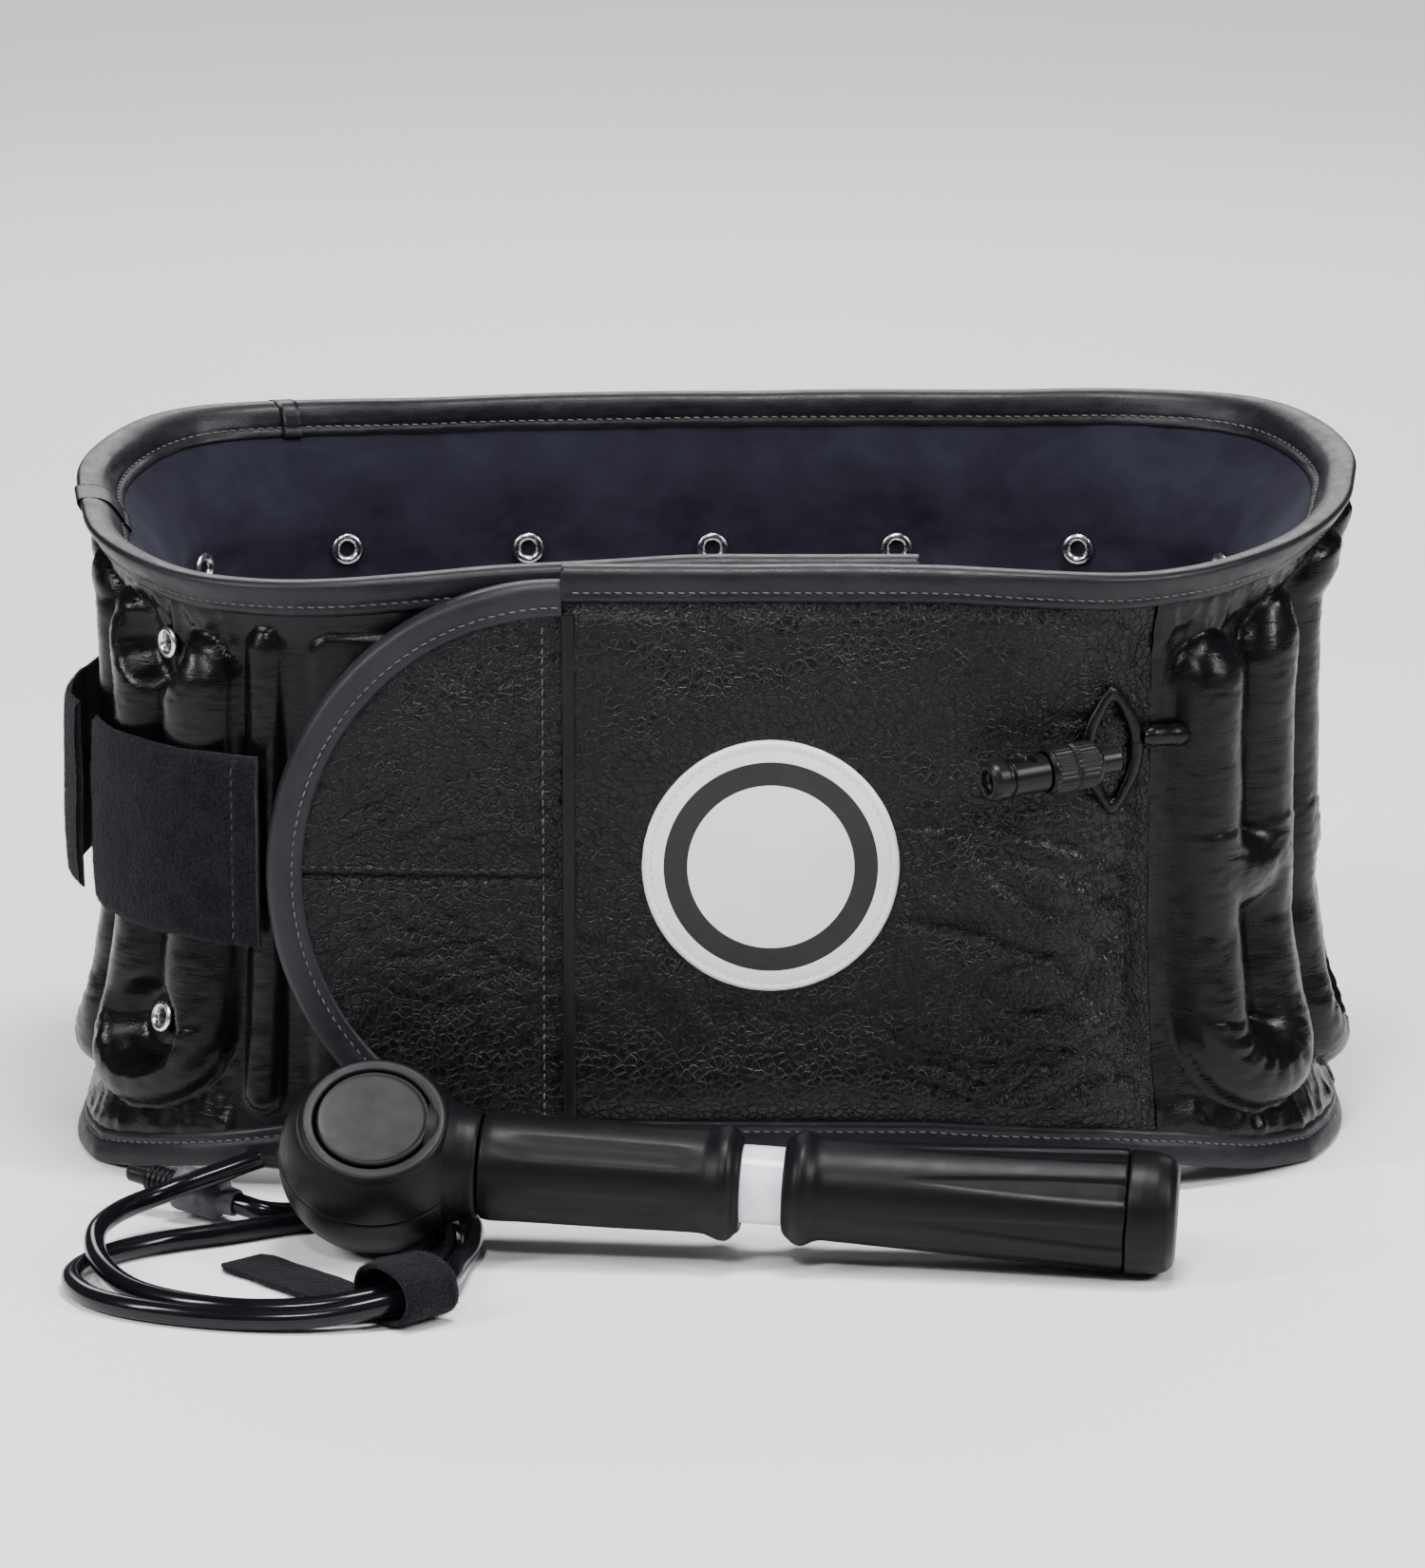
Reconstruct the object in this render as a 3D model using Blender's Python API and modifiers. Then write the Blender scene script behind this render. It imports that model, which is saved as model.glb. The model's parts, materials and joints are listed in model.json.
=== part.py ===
"""Inflatable lumbar support belt, closed in a loop, with its hand pump and coiled hose. Dimensions in millimetres, scaled to metres when a mesh is made."""

import math

import bmesh
import bpy
import mathutils
import numpy as np

# ---------------------------------------------------------------- dimensions
HALF_W = 151.0          # half width of the belt's wall at mid height
CORNER_R = 62.0         # back corners and front left corner
FRONT_R = 85.0          # front right corner
BACK_Y = 82.0
TAIL_Y = -72.0          # inner layer of the overlap
FRONT_Y = -80.0         # outer layer of the overlap
TAIL_X = 53.0           # where the inner layer ends
SEAM_X = -39.5          # vertical seam, the line the flap end folds on
FLAP_TIP = -115.0
PITCH = 25.6            # air column spacing
COLS = 11               # columns each side of the middle of the back
ROW_HI, ROW_LO = 142.0, 41.0
LIN0, LIN1 = -3.0, -1.0
SH0, SH1 = -0.7, 1.7
SLOT0, SLOT1 = -3.65, 2.4
BND0, BND1 = -4.3, 3.4
BIND_H = 9.5
CELL_BASE = 2.2
CELL_H = 10.5
PANEL0, PANEL1 = 2.3, 4.4
HEAD = np.array([-85.5, -127.0, 24.95])
HEAD_R = 24.6
PUMP_END = np.array([106.0, -146.0, 16.1])
BUTTON_N = np.array([0.0, -math.cos(math.radians(51)), math.sin(math.radians(51))])
HOSE_R = 2.75
SHIFT = np.array([-0.2, 32.9, 0.0])   # puts the origin under the middle of everything but the hose

# ---------------------------------------------------------------- the plan curve
SIDE_L0, SIDE_L1 = TAIL_Y + CORNER_R, BACK_Y - CORNER_R
CX = HALF_W - CORNER_R
FX, FY = HALF_W - FRONT_R, FRONT_Y + FRONT_R
QUARTER = math.pi / 2
SEGS = [
    ("line", (TAIL_X, TAIL_Y), (-CX, TAIL_Y)),
    ("arc", (-CX, SIDE_L0), CORNER_R, -QUARTER),
    ("line", (-HALF_W, SIDE_L0), (-HALF_W, SIDE_L1)),
    ("arc", (-CX, SIDE_L1), CORNER_R, -math.pi),
    ("line", (-CX, BACK_Y), (CX, BACK_Y)),
    ("arc", (CX, SIDE_L1), CORNER_R, QUARTER),
    ("line", (HALF_W, SIDE_L1), (HALF_W, FY)),
    ("arc", (FX, FY), FRONT_R, 0.0),
    ("line", (FX, FRONT_Y), (FLAP_TIP - 10, FRONT_Y)),
]


def seg_length(seg):
    return math.dist(seg[1], seg[2]) if seg[0] == "line" else seg[2] * QUARTER


LENGTHS = [seg_length(seg) for seg in SEGS]
ZERO = sum(LENGTHS[:4]) + CX
START = -ZERO


def plan(sigma):
    """Point and outward normal on the wall's middle, sigma mm along it from the middle of the back, positive to the right."""
    left = sigma + ZERO
    for seg, length in zip(SEGS, LENGTHS):
        if left <= length + 1e-9 or seg is SEGS[-1]:
            break
        left -= length
    if seg[0] == "line":
        a, b = np.array(seg[1]), np.array(seg[2])
        t = (b - a) / math.dist(a, b)
        point = a + t * left
        return point, np.array([-t[1], t[0]])
    angle = seg[3] - left / seg[2]
    normal = np.array([math.cos(angle), math.sin(angle)])
    return np.array(seg[1]) + seg[2] * normal, normal


def sigma_front(x):
    return -ZERO + sum(LENGTHS[:8]) + (FX - x)


def top_z(s):
    return float(np.interp(s, [START, -400, -345, -325, -300, -265, -243.2, -192, -140, -107, -64, 0, 64, 92, 140, 192, 243.2, 266, 293, 340, 520],
                     [169.5, 169.5, 166.5, 164.5, 163, 162.3, 166, 173, 181.5, 181.5, 183.5, 184.7, 185, 184.7, 184.3, 176.5, 168, 165.5, 164.8, 168.5, 168.5]))


def low_z(s):
    return float(np.interp(s, [START, -345, -300, -275, -250, -243.2, 243.2, 260, 280, 300, 345, 520], [13, 12.5, 11, 6, 1, 0, 0, 2, 6.5, 9.5, 12.5, 13]))


def flare(s, z):
    """Outward lean of the wall's top and bottom edges, mm."""
    top = np.interp(s, [-330, -300, -243.2, -192, -140, -110, -89.6, 89.6, 110, 140, 192, 243.2, 300, 330], [0, 8, 20, 24, 24, 14, 5, 5, 14, 26, 24, 20, 8, 0])
    low = np.interp(s, [-320, -243.2, -192, -89.6, 89.6, 192, 243.2, 320], [0, 18, 17, 4, 4, 17, 18, 0])
    return float(top * np.interp(z, [147.5, 158, 172, 185], [0, 0.25, 0.7, 1.0]) + low * np.interp(z, [0, 9.5, 28, 46, 68], [1, 0.83, 0.48, 0.2, 0]))


def wall(s, z, off):
    point, normal = plan(s)
    point = point + normal * (off + flare(s, z))
    return np.array([point[0], point[1], z])


def levels(z0, z1, fixed):
    n = len(fixed)
    mids = [min(max(z, z0 + 0.5 * (i + 1)), z1 - 0.5 * (n - i)) for i, z in enumerate(fixed)]
    return [z0, *mids, z1]


def stations(s0, s1, extra=()):
    """Shared stations along the wall, so that layers over each other stay parallel."""
    steps = [k * 12.8 for k in range(-36, 36)]
    keep = [s for s in steps if s0 + 3 < s < s1 - 3 and (6.3 * 12.8 > abs(s) and round(s / 12.8) % 2 == 0 or 75 < abs(s) < 330 or abs(s) >= 330 and round(s / 12.8) % 3 == 0)]
    return sorted([s0, *keep, s1, *extra])


# ---------------------------------------------------------------- mesh helpers
for old in list(bpy.data.objects):
    bpy.data.objects.remove(old)
scene = bpy.context.scene
parts = bpy.data.collections.new("lumbar_belt_set")
cutters = bpy.data.collections.new("cutters")
scene.collection.children.link(parts)
scene.collection.children.link(cutters)
cutters.hide_render = True

COLOURS = {
    "skin_leather": ((0.020, 0.020, 0.023), 0.36, 0.0),
    "panel_leather": ((0.024, 0.024, 0.027), 0.48, 0.0),
    "binding_leather": ((0.062, 0.062, 0.070), 0.50, 0.0),
    "lining_suede": ((0.030, 0.033, 0.045), 0.95, 0.0),
    "strap_fabric": ((0.035, 0.036, 0.040), 0.95, 0.0),
    "hook_tape": ((0.020, 0.020, 0.022), 0.90, 0.0),
    "eyelet_metal": ((0.62, 0.62, 0.64), 0.24, 1.0),
    "patch_white": ((0.86, 0.86, 0.87), 0.55, 0.0),
    "patch_charcoal": ((0.045, 0.045, 0.050), 0.60, 0.0),
    "pump_plastic": ((0.030, 0.030, 0.034), 0.42, 0.0),
    "tube_plastic": ((0.84, 0.86, 0.90), 0.30, 0.0),
    "valve_plastic": ((0.018, 0.018, 0.020), 0.30, 0.0),
    "hose_vinyl": ((0.014, 0.014, 0.018), 0.14, 0.0),
    "connector_plastic": ((0.16, 0.16, 0.18), 0.40, 0.0),
}
MATS = {}
for key, (rgb, rough, metal) in COLOURS.items():
    mat = bpy.data.materials.new(key)
    mat.use_nodes = True
    shader = mat.node_tree.nodes["Principled BSDF"]
    shader.inputs["Base Color"].default_value = (*rgb, 1)
    shader.inputs["Roughness"].default_value = rough
    shader.inputs["Metallic"].default_value = metal
    mat.diffuse_color = (*rgb, 1)
    MATS[key] = mat


def solid(name, points, faces, material, collection=None):
    mesh = bpy.data.meshes.new(name)
    mesh.from_pydata([tuple((np.asarray(p, float) + SHIFT) * 0.001) for p in points], [], faces)
    bm = bmesh.new()
    bm.from_mesh(mesh)
    bmesh.ops.recalc_face_normals(bm, faces=bm.faces)
    bm.to_mesh(mesh)
    bm.free()
    mesh.shade_smooth()
    mesh.set_sharp_from_angle(angle=math.radians(38))
    obj = bpy.data.objects.new(name, mesh)
    (collection or parts).objects.link(obj)
    if material:
        mesh.materials.append(MATS[material])
    if collection is cutters:
        obj.hide_render = True
        obj.display_type = "WIRE"
    return obj


def sheet_solid(name, outer, inner, material):
    """Closed solid between two grids of the same size."""
    rows, cols = len(outer), len(outer[0])
    points = [p for row in outer for p in row] + [p for row in inner for p in row]
    base = rows * cols
    faces = []
    for i in range(rows - 1):
        for j in range(cols - 1):
            a, b, c, d = i * cols + j, (i + 1) * cols + j, (i + 1) * cols + j + 1, i * cols + j + 1
            faces += [(a, b, c), (a, c, d), (base + c, base + b, base + a), (base + d, base + c, base + a)]
    rim = [i * cols for i in range(rows)] + [(rows - 1) * cols + j for j in range(1, cols)]
    rim += [i * cols + cols - 1 for i in range(rows - 2, -1, -1)] + [j for j in range(cols - 2, 0, -1)]
    for a, b in zip(rim, rim[1:] + rim[:1]):
        faces.append((b, a, base + a, base + b))
    return solid(name, points, faces, material)


def band(name, ss, z0, z1, fixed, off0, off1, material):
    grid = [levels(z0(s), z1(s), fixed) for s in ss]
    outer = [[wall(s, z, off1) for z in zs] for s, zs in zip(ss, grid)]
    inner = [[wall(s, z, off0) for z in zs] for s, zs in zip(ss, grid)]
    return sheet_solid(name, outer, inner, material)


def loft(name, rings, material, collection=None, loop=False):
    """Closed solid through rings of equal length, its ends capped unless it loops."""
    n = len(rings[0])
    points = [p for ring in rings for p in ring]
    faces = []
    count = len(rings)
    for i in range(count if loop else count - 1):
        k = (i + 1) % count
        for j in range(n):
            faces.append((i * n + j, i * n + (j + 1) % n, k * n + (j + 1) % n, k * n + j))
    if not loop:
        faces.append(tuple(range(n)))
        faces.append(tuple((count - 1) * n + j for j in reversed(range(n))))
    return solid(name, points, faces, material, collection)


def frame_of(axis):
    axis = np.asarray(axis, float)
    axis = axis / np.linalg.norm(axis)
    side = np.cross(axis, [0, 0, 1])
    if np.linalg.norm(side) < 1e-3:
        side = np.cross(axis, [0, 1, 0])
    side /= np.linalg.norm(side)
    return axis, side, np.cross(side, axis)


def lathe(name, origin, axis, profile, seg, material, closed=False, collection=None):
    """A turned piece: (distance along the axis, radius) points as a profile with a Screw modifier, its own Z laid on the axis. closed joins the last point to the first, as for a tube."""
    axis, u, v = frame_of(axis)
    pts = [(r * 0.001, 0.0, a * 0.001) for a, r in profile]
    loop = pts if closed else pts + [(0.0, 0.0, pts[-1][2]), (0.0, 0.0, pts[0][2])]
    area = sum(p[0] * q[2] - q[0] * p[2] for p, q in zip(loop, loop[1:] + loop[:1]))
    if area > 0:
        pts.reverse()
    if not closed:
        pts = ([(0.0, 0.0, pts[0][2])] if pts[0][0] > 1e-9 else []) + pts + ([(0.0, 0.0, pts[-1][2])] if pts[-1][0] > 1e-9 else [])
    edges = [(k, k + 1) for k in range(len(pts) - 1)] + ([(len(pts) - 1, 0)] if closed else [])
    mesh = bpy.data.meshes.new(name)
    mesh.from_pydata(pts, edges, [])
    obj = bpy.data.objects.new(name, mesh)
    (collection or parts).objects.link(obj)
    screw = obj.modifiers.new("turn", "SCREW")
    screw.axis = "Z"
    screw.angle = 2 * math.pi
    screw.steps = screw.render_steps = seg
    screw.use_merge_vertices = True
    screw.merge_threshold = 0.00001
    screw.use_smooth_shade = True
    side = np.cross(axis, u)
    at = (np.asarray(origin, float) + SHIFT) * 0.001
    obj.matrix_world = mathutils.Matrix([[float(u[k]), float(side[k]), float(axis[k]), float(at[k])] for k in range(3)] + [[0, 0, 0, 1]])
    if material:
        mesh.materials.append(MATS[material])
    if collection is cutters:
        obj.hide_render = True
        obj.display_type = "WIRE"
    return obj


def cut(obj, other, operation="DIFFERENCE"):
    mod = obj.modifiers.new("cut_" + other.name, "BOOLEAN")
    mod.operation = operation
    mod.solver = "EXACT"
    mod.object = other


# ---------------------------------------------------------------- the belt's wall
S_END = sigma_front(SEAM_X + 0.8)
ring = stations(START, S_END)
Z_FIX = [9.5, 28, 46, 68, 147.5, 158, 172]


lining = band("lining_band", ring, lambda s: low_z(s) + 1.9, lambda s: top_z(s) - 1.9, Z_FIX, LIN0, LIN1, "lining_suede")
shell = band("outer_shell", ring, lambda s: low_z(s) + 1.9, lambda s: top_z(s) - 1.9, Z_FIX, SH0, SH1, "skin_leather")


def edge_channel(name, ss, edge, sign, profile, material):
    rings = []
    for s in ss:
        z0 = edge(s)
        rings.append([wall(s, z0 + sign * h, off) for off, h in profile])
    return loft(name, rings, material)


U_PROFILE = [(BND0, -BIND_H), (BND0, -1.6), (-2.7, 0), (1.8, 0), (BND1, -1.6), (BND1, -BIND_H), (SLOT1, -BIND_H), (SLOT1, -1.5), (SLOT0, -1.5), (SLOT0, -BIND_H)]
edge_channel("top_binding", ring, top_z, 1, U_PROFILE, "binding_leather")
edge_channel("bottom_binding", ring, low_z, -1, U_PROFILE, "binding_leather")
TAB = [(-5.6, -11.6), (-5.6, 0.2), (-4.4, 1.4), (3.5, 1.4), (4.7, 0.2), (4.7, -11.6), (3.8, -11.6), (3.8, 0.4), (-4.7, 0.4), (-4.7, -11.6)]
edge_channel("binding_tab", [-207.5, -204.8, -196], top_z, 1, TAB, "binding_leather")

# ---------------------------------------------------------------- air cells
EYELETS = [k * 2 * PITCH for k in range(-5, 5)]


def cell_low(s):
    return low_z(s) + 18.5


def cell_top(s):
    return top_z(s) - float(np.interp(abs(s), [0, 217.6, 230, 256, 300], [12, 12, 14, 20.5, 20.5]))


def tube(d, half=12.2):
    return 0.0 if d >= half else math.sqrt(max(0.0, 1 - (d / half) ** 2))


def cell_height(s, z):
    """Height of the inflated skin over its flat base: columns in pairs, joined by a bend at the bottom and another at mid height."""
    pair = math.floor(s / (2 * PITCH) + 0.5)
    u = s - pair * 2 * PITCH
    low, top = cell_low(s), cell_top(s)
    c = PITCH / 2
    a = abs(u)
    best = 0.0
    zc = low + 25.0
    zt = top - 10.0
    if z > zc:
        d = math.hypot(a - c, max(0.0, z - zt))
        best = tube(d)
    else:
        best = tube(abs(math.hypot(a, z - zc) - c))
    for mid in (87.0,):
        d = abs(math.hypot(a, z - mid - 7.0) - c) if z < mid + 7 else 99.0
        best = max(best, tube(d) * 1.05)
    for row in (ROW_HI, ROW_LO):
        d = math.hypot(u, z - row)
        if d < 13.0 and -5 <= pair <= 4:
            best *= max(0.0, (d - 8.0) / 5.0)
    return best


U_STEPS = [-25.4, -20.5, -12.8, -5.2, 0.0, 5.2, 12.8, 20.5, 25.4]
CELL_Z = [24, 31, 35.5, 46.5, 62, 78, 86, 96, 136, 147.5, 158]
SECTIONS = {"cells_left": (-5, -4), "cells_back_left": (-3, -2), "cells_back": (-1, 1), "cells_back_right": (2, 3), "cells_right": (4, 5)}
for name, (first, last) in SECTIONS.items():
    outer, inner = [], []
    for pair in range(first, last + 1):
        for u in U_STEPS:
            if u == -25.4 and pair != first:
                continue
            s = pair * 2 * PITCH + (25.6 if u == 25.4 and pair != last else u)
            zs = levels(cell_low(s), cell_top(s), CELL_Z)
            edge = 0.9
            outer.append([wall(s, z, CELL_BASE + max(edge, CELL_H * cell_height(s, z) if 0 < j < len(zs) - 1 else 0)) for j, z in enumerate(zs)])
            inner.append([wall(s, z, CELL_BASE) for z in zs])
    sheet_solid(name, outer, inner, "skin_leather")

# ---------------------------------------------------------------- eyelets
rings_of_eyelets = []
for row, z in (("t", ROW_HI), ("b", ROW_LO)):
    for k, s in enumerate(EYELETS):
        base = wall(s, z, 0)
        along = wall(s + 1, z, 0) - wall(s - 1, z, 0)
        upward = wall(s, z + 1, 0) - wall(s, z - 1, 0)
        normal = np.cross(along, upward)
        normal /= np.linalg.norm(normal)
        if normal[:2] @ plan(s)[1] < 0:
            normal = -normal
        lathe(f"eyelet_{row}{k + 1:02d}", base, normal,
              [(-3.75, 2.1), (-3.75, 4.1), (-4.75, 3.3), (-4.75, 1.5), (4.5, 1.5), (4.5, 3.4), (3.65, 4.2), (3.65, 2.1)], 8, "eyelet_metal", closed=True)
        rings_of_eyelets.append((base, normal))
points, faces = [], []
for base, normal in rings_of_eyelets:
    axis, u, v = frame_of(normal)
    start = len(points)
    for a in (-12.0, 12.0):
        for k in range(8):
            t = 2 * math.pi * k / 8
            points.append(base + axis * a + (u * math.cos(t) + v * math.sin(t)) * 2.55)
    faces += [(start + k, start + (k + 1) % 8, start + 8 + (k + 1) % 8, start + 8 + k) for k in range(8)]
    faces += [tuple(start + k for k in reversed(range(8))), tuple(start + 8 + k for k in range(8))]
holes = solid("eyelet_holes", points, faces, None, cutters)
for name in ("lining_band", "outer_shell", *SECTIONS):
    cut(bpy.data.objects[name], holes)

# ---------------------------------------------------------------- front layers
front_ss = sorted({s for s in [286.0, *[k * 12.8 for k in range(23, 27)], sigma_front(FX), sigma_front(15), S_END]})
grid = [levels(low_z(s) + 11.2, top_z(s) - 11.2, [28, 46, 68, 90, 120, 140]) for s in front_ss]
outer, inner = [], []
for i, (s, zs) in enumerate(zip(front_ss, grid)):
    edge = i in (0, len(grid) - 1)
    outer.append([wall(s, z, PANEL1 - (1.2 if edge or j in (0, len(zs) - 1) else 0)) for j, z in enumerate(zs)])
    inner.append([wall(s, z, PANEL0) for z in zs])
sheet_solid("front_panel", outer, inner, "panel_leather")

piping_s = S_END - 1.6
rings = []
for z in (22.0, 88.0, 152.0):
    rings.append([wall(piping_s + 0.9 * math.cos(t), z, PANEL1 + 0.75 + 0.75 * math.sin(t)) for t in np.linspace(0, 2 * math.pi, 7)[:-1]])
loft("seam_piping", rings, "binding_leather")

# the tail: inner layer under the flap
pad_ss = [-344.0, -332.8, -320.0, -307.2, -297.0]
band("tail_pad", pad_ss, lambda s: 27.0, lambda s: 148.0, [46, 68, 140], 2.0, 2.95, "panel_leather")
band("tail_stay", [-291.8, -289.6, -287.5, -285.4, -283.3], lambda s: 26.0, lambda s: 147.0, [28, 46, 68, 140], 2.0, 4.4, "skin_leather")
band("loop_panel", [-440.0, -384.0, -347.0], lambda s: 40.0, lambda s: 140.0, [68], 2.0, 2.95, "hook_tape")

# ---------------------------------------------------------------- flap end (moves about the seam)
FC = np.array([-40.0, 87.3])
FA, FB = 75.0, 77.3


def flap_outline(inset, n=13, x_from=-41.0):
    pts = []
    a, b = FA - inset, FB - inset
    for k in range(n):
        t = math.pi / 2 + math.pi * k / (n - 1)
        x = min(FC[0] + a * math.cos(t), x_from)
        pts.append((x, FC[1] + b * math.sin(t)))
    return pts


def flap_plate(name, inset, off0, off1, material, n=13, x_from=-41.0, crown=0.0):
    pts = flap_outline(inset, n, x_from)
    cx = (x_from + pts[n // 2][0]) / 2
    y0, y1 = FRONT_Y - off0, FRONT_Y - off1
    rings = []
    for scale_in, off in ((1.0, y0), (1.0, y1 + crown), ):
        rings.append([np.array([x, off, z]) for x, z in pts])
    if crown:
        rings.append([np.array([cx + (x - cx) * 0.9, y1, FC[1] + (z - FC[1]) * 0.94]) for x, z in pts])
    return loft(name, rings, material)


flap_plate("flap_panel", 2.0, SH0, 4.2, "panel_leather", crown=0.0)
flap_plate("flap_lining", 2.0, LIN0, LIN1, "lining_suede")
flap_plate("flap_hook", 14.0, -4.25, -3.3, "hook_tape", n=9, x_from=-52.0)
F_PROFILE = [(BND0, BIND_H), (BND0, 1.6), (-2.7, 0), (2.9, 0), (5.8, 1.6), (5.8, BIND_H), (4.5, BIND_H), (4.5, 1.5), (SLOT0, 1.5), (SLOT0, BIND_H)]
rings = []
for k in range(17):
    t = math.pi / 2 + math.pi * k / 16
    ring_points = []
    for off, inset in F_PROFILE:
        x = FC[0] + (FA - inset) * math.cos(t)
        z = FC[1] + (FB - inset) * math.sin(t)
        ring_points.append(np.array([min(x, -41.0) if k in (0, 16) else x, FRONT_Y - off, z]))
    if k in (0, 16):
        for p in ring_points:
            p[0] = -41.0
    rings.append(ring_points)
loft("flap_binding", rings, "binding_leather")

# ---------------------------------------------------------------- round patch
face_y = FRONT_Y - PANEL1
lathe("patch_base", (15.0, face_y - 0.3, 90.5), (0, -1, 0), [(0, 0), (0, 33.2), (0.9, 33.2), (0.9, 0)], 32, "patch_white")
lathe("patch_ring", (15.0, face_y - 1.4, 90.5), (0, -1, 0), [(0, 21.5), (0, 27.5), (0.5, 27.5), (0.5, 21.5)], 32, "patch_charcoal", closed=True)

# ---------------------------------------------------------------- valve
V_TIP = np.array([69.5, -104.5, 117.2])
V_ROOT = np.array([101.5, -88.0, 119.3])
V_DIR = (V_ROOT - V_TIP) / np.linalg.norm(V_ROOT - V_TIP)
V_LEN = float(np.linalg.norm(V_ROOT - V_TIP))
lathe("valve_body", V_TIP, V_DIR, [(11.0, 0), (11.0, 2.3), (0, 2.3), (0, 4.7), (0.8, 5.2), (4.4, 5.2), (5.2, 4.2), (5.8, 4.2), (6.6, 4.9), (12.6, 4.9), (13.4, 3.4), (V_LEN + 1.0, 3.4), (V_LEN + 1.0, 0)], 20, "valve_plastic")
lathe("valve_sleeve", V_TIP, V_DIR, [(17.0, 3.75), (17.0, 5.4), (17.8, 6.1), (31.0, 6.1), (31.6, 5.6), (32.2, 5.6), (32.2, 3.75)], 20, "valve_plastic", closed=True)
rings = []
for k in range(16):
    t = 2 * math.pi * k / 16
    px = []
    for dr, dy in ((-1.5, 0), (1.9, 0), (1.2, 2.4), (-0.8, 2.4)):
        x, z = 103.5 + (6.4 + dr) * math.cos(t), 120.3 + (14.5 + dr) * math.sin(t)
        ang = math.asin(min(1, max(0, (x - FX) / (FRONT_R + PANEL1))))
        y_surface = FY - math.cos(ang) * (FRONT_R + PANEL1) if x > FX else face_y
        px.append(np.array([x, y_surface - 0.6 - dy, z]))
    rings.append(px)
loft("valve_collar", rings, "skin_leather", loop=True)
rings = []
for s in (282.2, 284.6, 286.9, 289.2):
    r = 2.3 if s < 289 else 1.7
    rings.append([wall(s, 122.0 + r * math.cos(t), PANEL1 + 2.9 + r * math.sin(t)) for t in np.linspace(0, 2 * math.pi, 9)[:-1]])
loft("air_duct", rings, "skin_leather")

# ---------------------------------------------------------------- strap
def strap(name, ss, z0, z1, offs, material):
    outer = [[wall(s, z0 + (z1 - z0) * t, 0) + np.array([*plan(s)[1], 0]) * (off + 1.8 - flare(s, z0 + (z1 - z0) * t)) for t in (0, 0.5, 1)] for s, off in zip(ss, offs)]
    inner = [[wall(s, z0 + (z1 - z0) * t, 0) + np.array([*plan(s)[1], 0]) * (off - flare(s, z0 + (z1 - z0) * t)) for t in (0, 0.5, 1)] for s, off in zip(ss, offs)]
    return sheet_solid(name, outer, inner, material)


strap("strap_front", [-290.0, -281.6, -268.8, -256.0, -243.2, -232.0], 68.0, 118.0, [13.9] * 6, "strap_fabric")
strap("strap_rear", [-229.0, -217.6, -204.8, -192.0, -179.2, -166.4, -150.0], 71.0, 121.0, [17.5, 20.0, 20.5, 19.0, 16.5, 14.5, 13.9], "strap_fabric")

# ---------------------------------------------------------------- pump
P_DIR = (PUMP_END - HEAD) / np.linalg.norm(PUMP_END - HEAD)
SEAM_T = 4.2


def sphere_profile(t0, t1, n, r=HEAD_R):
    out = []
    for k in range(n + 1):
        a = math.acos(t0 / r) + (math.acos(t1 / r) - math.acos(t0 / r)) * k / n
        out.append((r * math.cos(a), r * math.sin(a)))
    return out


head = lathe("pump_head", HEAD, BUTTON_N, [(-HEAD_R, 0), *sphere_profile(-HEAD_R, SEAM_T, 9)[1:], (SEAM_T, 0)], 22, "pump_plastic")
collar = lathe("head_collar_add", HEAD, P_DIR, [(12.0, 0), (12.0, 13.9), (26.6, 13.9), (27.0, 13.4), (27.0, 0)], 22, None, collection=cutters)
socket = lathe("head_socket_cut", HEAD, P_DIR, [(19.0, 0), (19.0, 10.35), (40.0, 10.35), (40.0, 0)], 22, None, collection=cutters)
clear = lathe("head_cap_cut", HEAD, P_DIR, [(5.0, 0), (5.0, 14.3), (40.0, 14.3), (40.0, 0)], 22, None, collection=cutters)
cut(head, collar, "UNION")
cut(head, socket)
cut(head, lathe("head_button_cut", HEAD, BUTTON_N, [(11.8, 0), (11.8, 14.8), (40.0, 14.8), (40.0, 0)], 22, None, collection=cutters))
cap = lathe("head_cap", HEAD, BUTTON_N, [(SEAM_T + 0.35, 14.9), *sphere_profile(SEAM_T + 0.35, 15.2, 5), (16.6, 18.2), (17.0, 17.4), (17.0, 14.9)], 22, "pump_plastic", closed=True)
cut(cap, clear)
button_obj = lathe("release_button", HEAD, BUTTON_N, [(15.0, 0), (15.0, 14.3), (16.9, 14.5), (17.3, 14.0), (17.3, 0)], 22, "pump_plastic")

grip = [(27.4, 10.4), (27.4, 13.6), (30.0, 13.9), (60.0, 13.6), (83.5, 13.4), (86.0, 13.9), (89.0, 14.9), (92.0, 13.4), (93.6, 11.2), (93.6, 10.4)]
lathe("barrel_grip", HEAD, P_DIR, grip, 20, "pump_plastic", closed=True)
lathe("pump_tube", HEAD, P_DIR, [(20.0, 8.6), (20.0, 10.0), (178.0, 10.0), (178.0, 8.6)], 20, "tube_plastic", closed=True)
handle = [(104.4, 10.4), (104.4, 11.2), (106.2, 13.6), (109.3, 14.6), (112.0, 13.4), (116.0, 12.9), (150.0, 14.0), (178.0, 15.2), (190.6, 15.9), (192.6, 15.8), (192.6, 10.4)]
lathe("handle_grip", HEAD, P_DIR, handle, 20, "pump_plastic", closed=True)
lathe("handle_end_cap", HEAD, P_DIR, [(188.6, 0), (188.6, 10.0), (193.0, 10.0), (193.0, 15.7), (196.0, 15.4), (200.5, 14.6), (202.8, 13.2), (203.6, 11.0), (203.6, 0)], 20, "pump_plastic")
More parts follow.
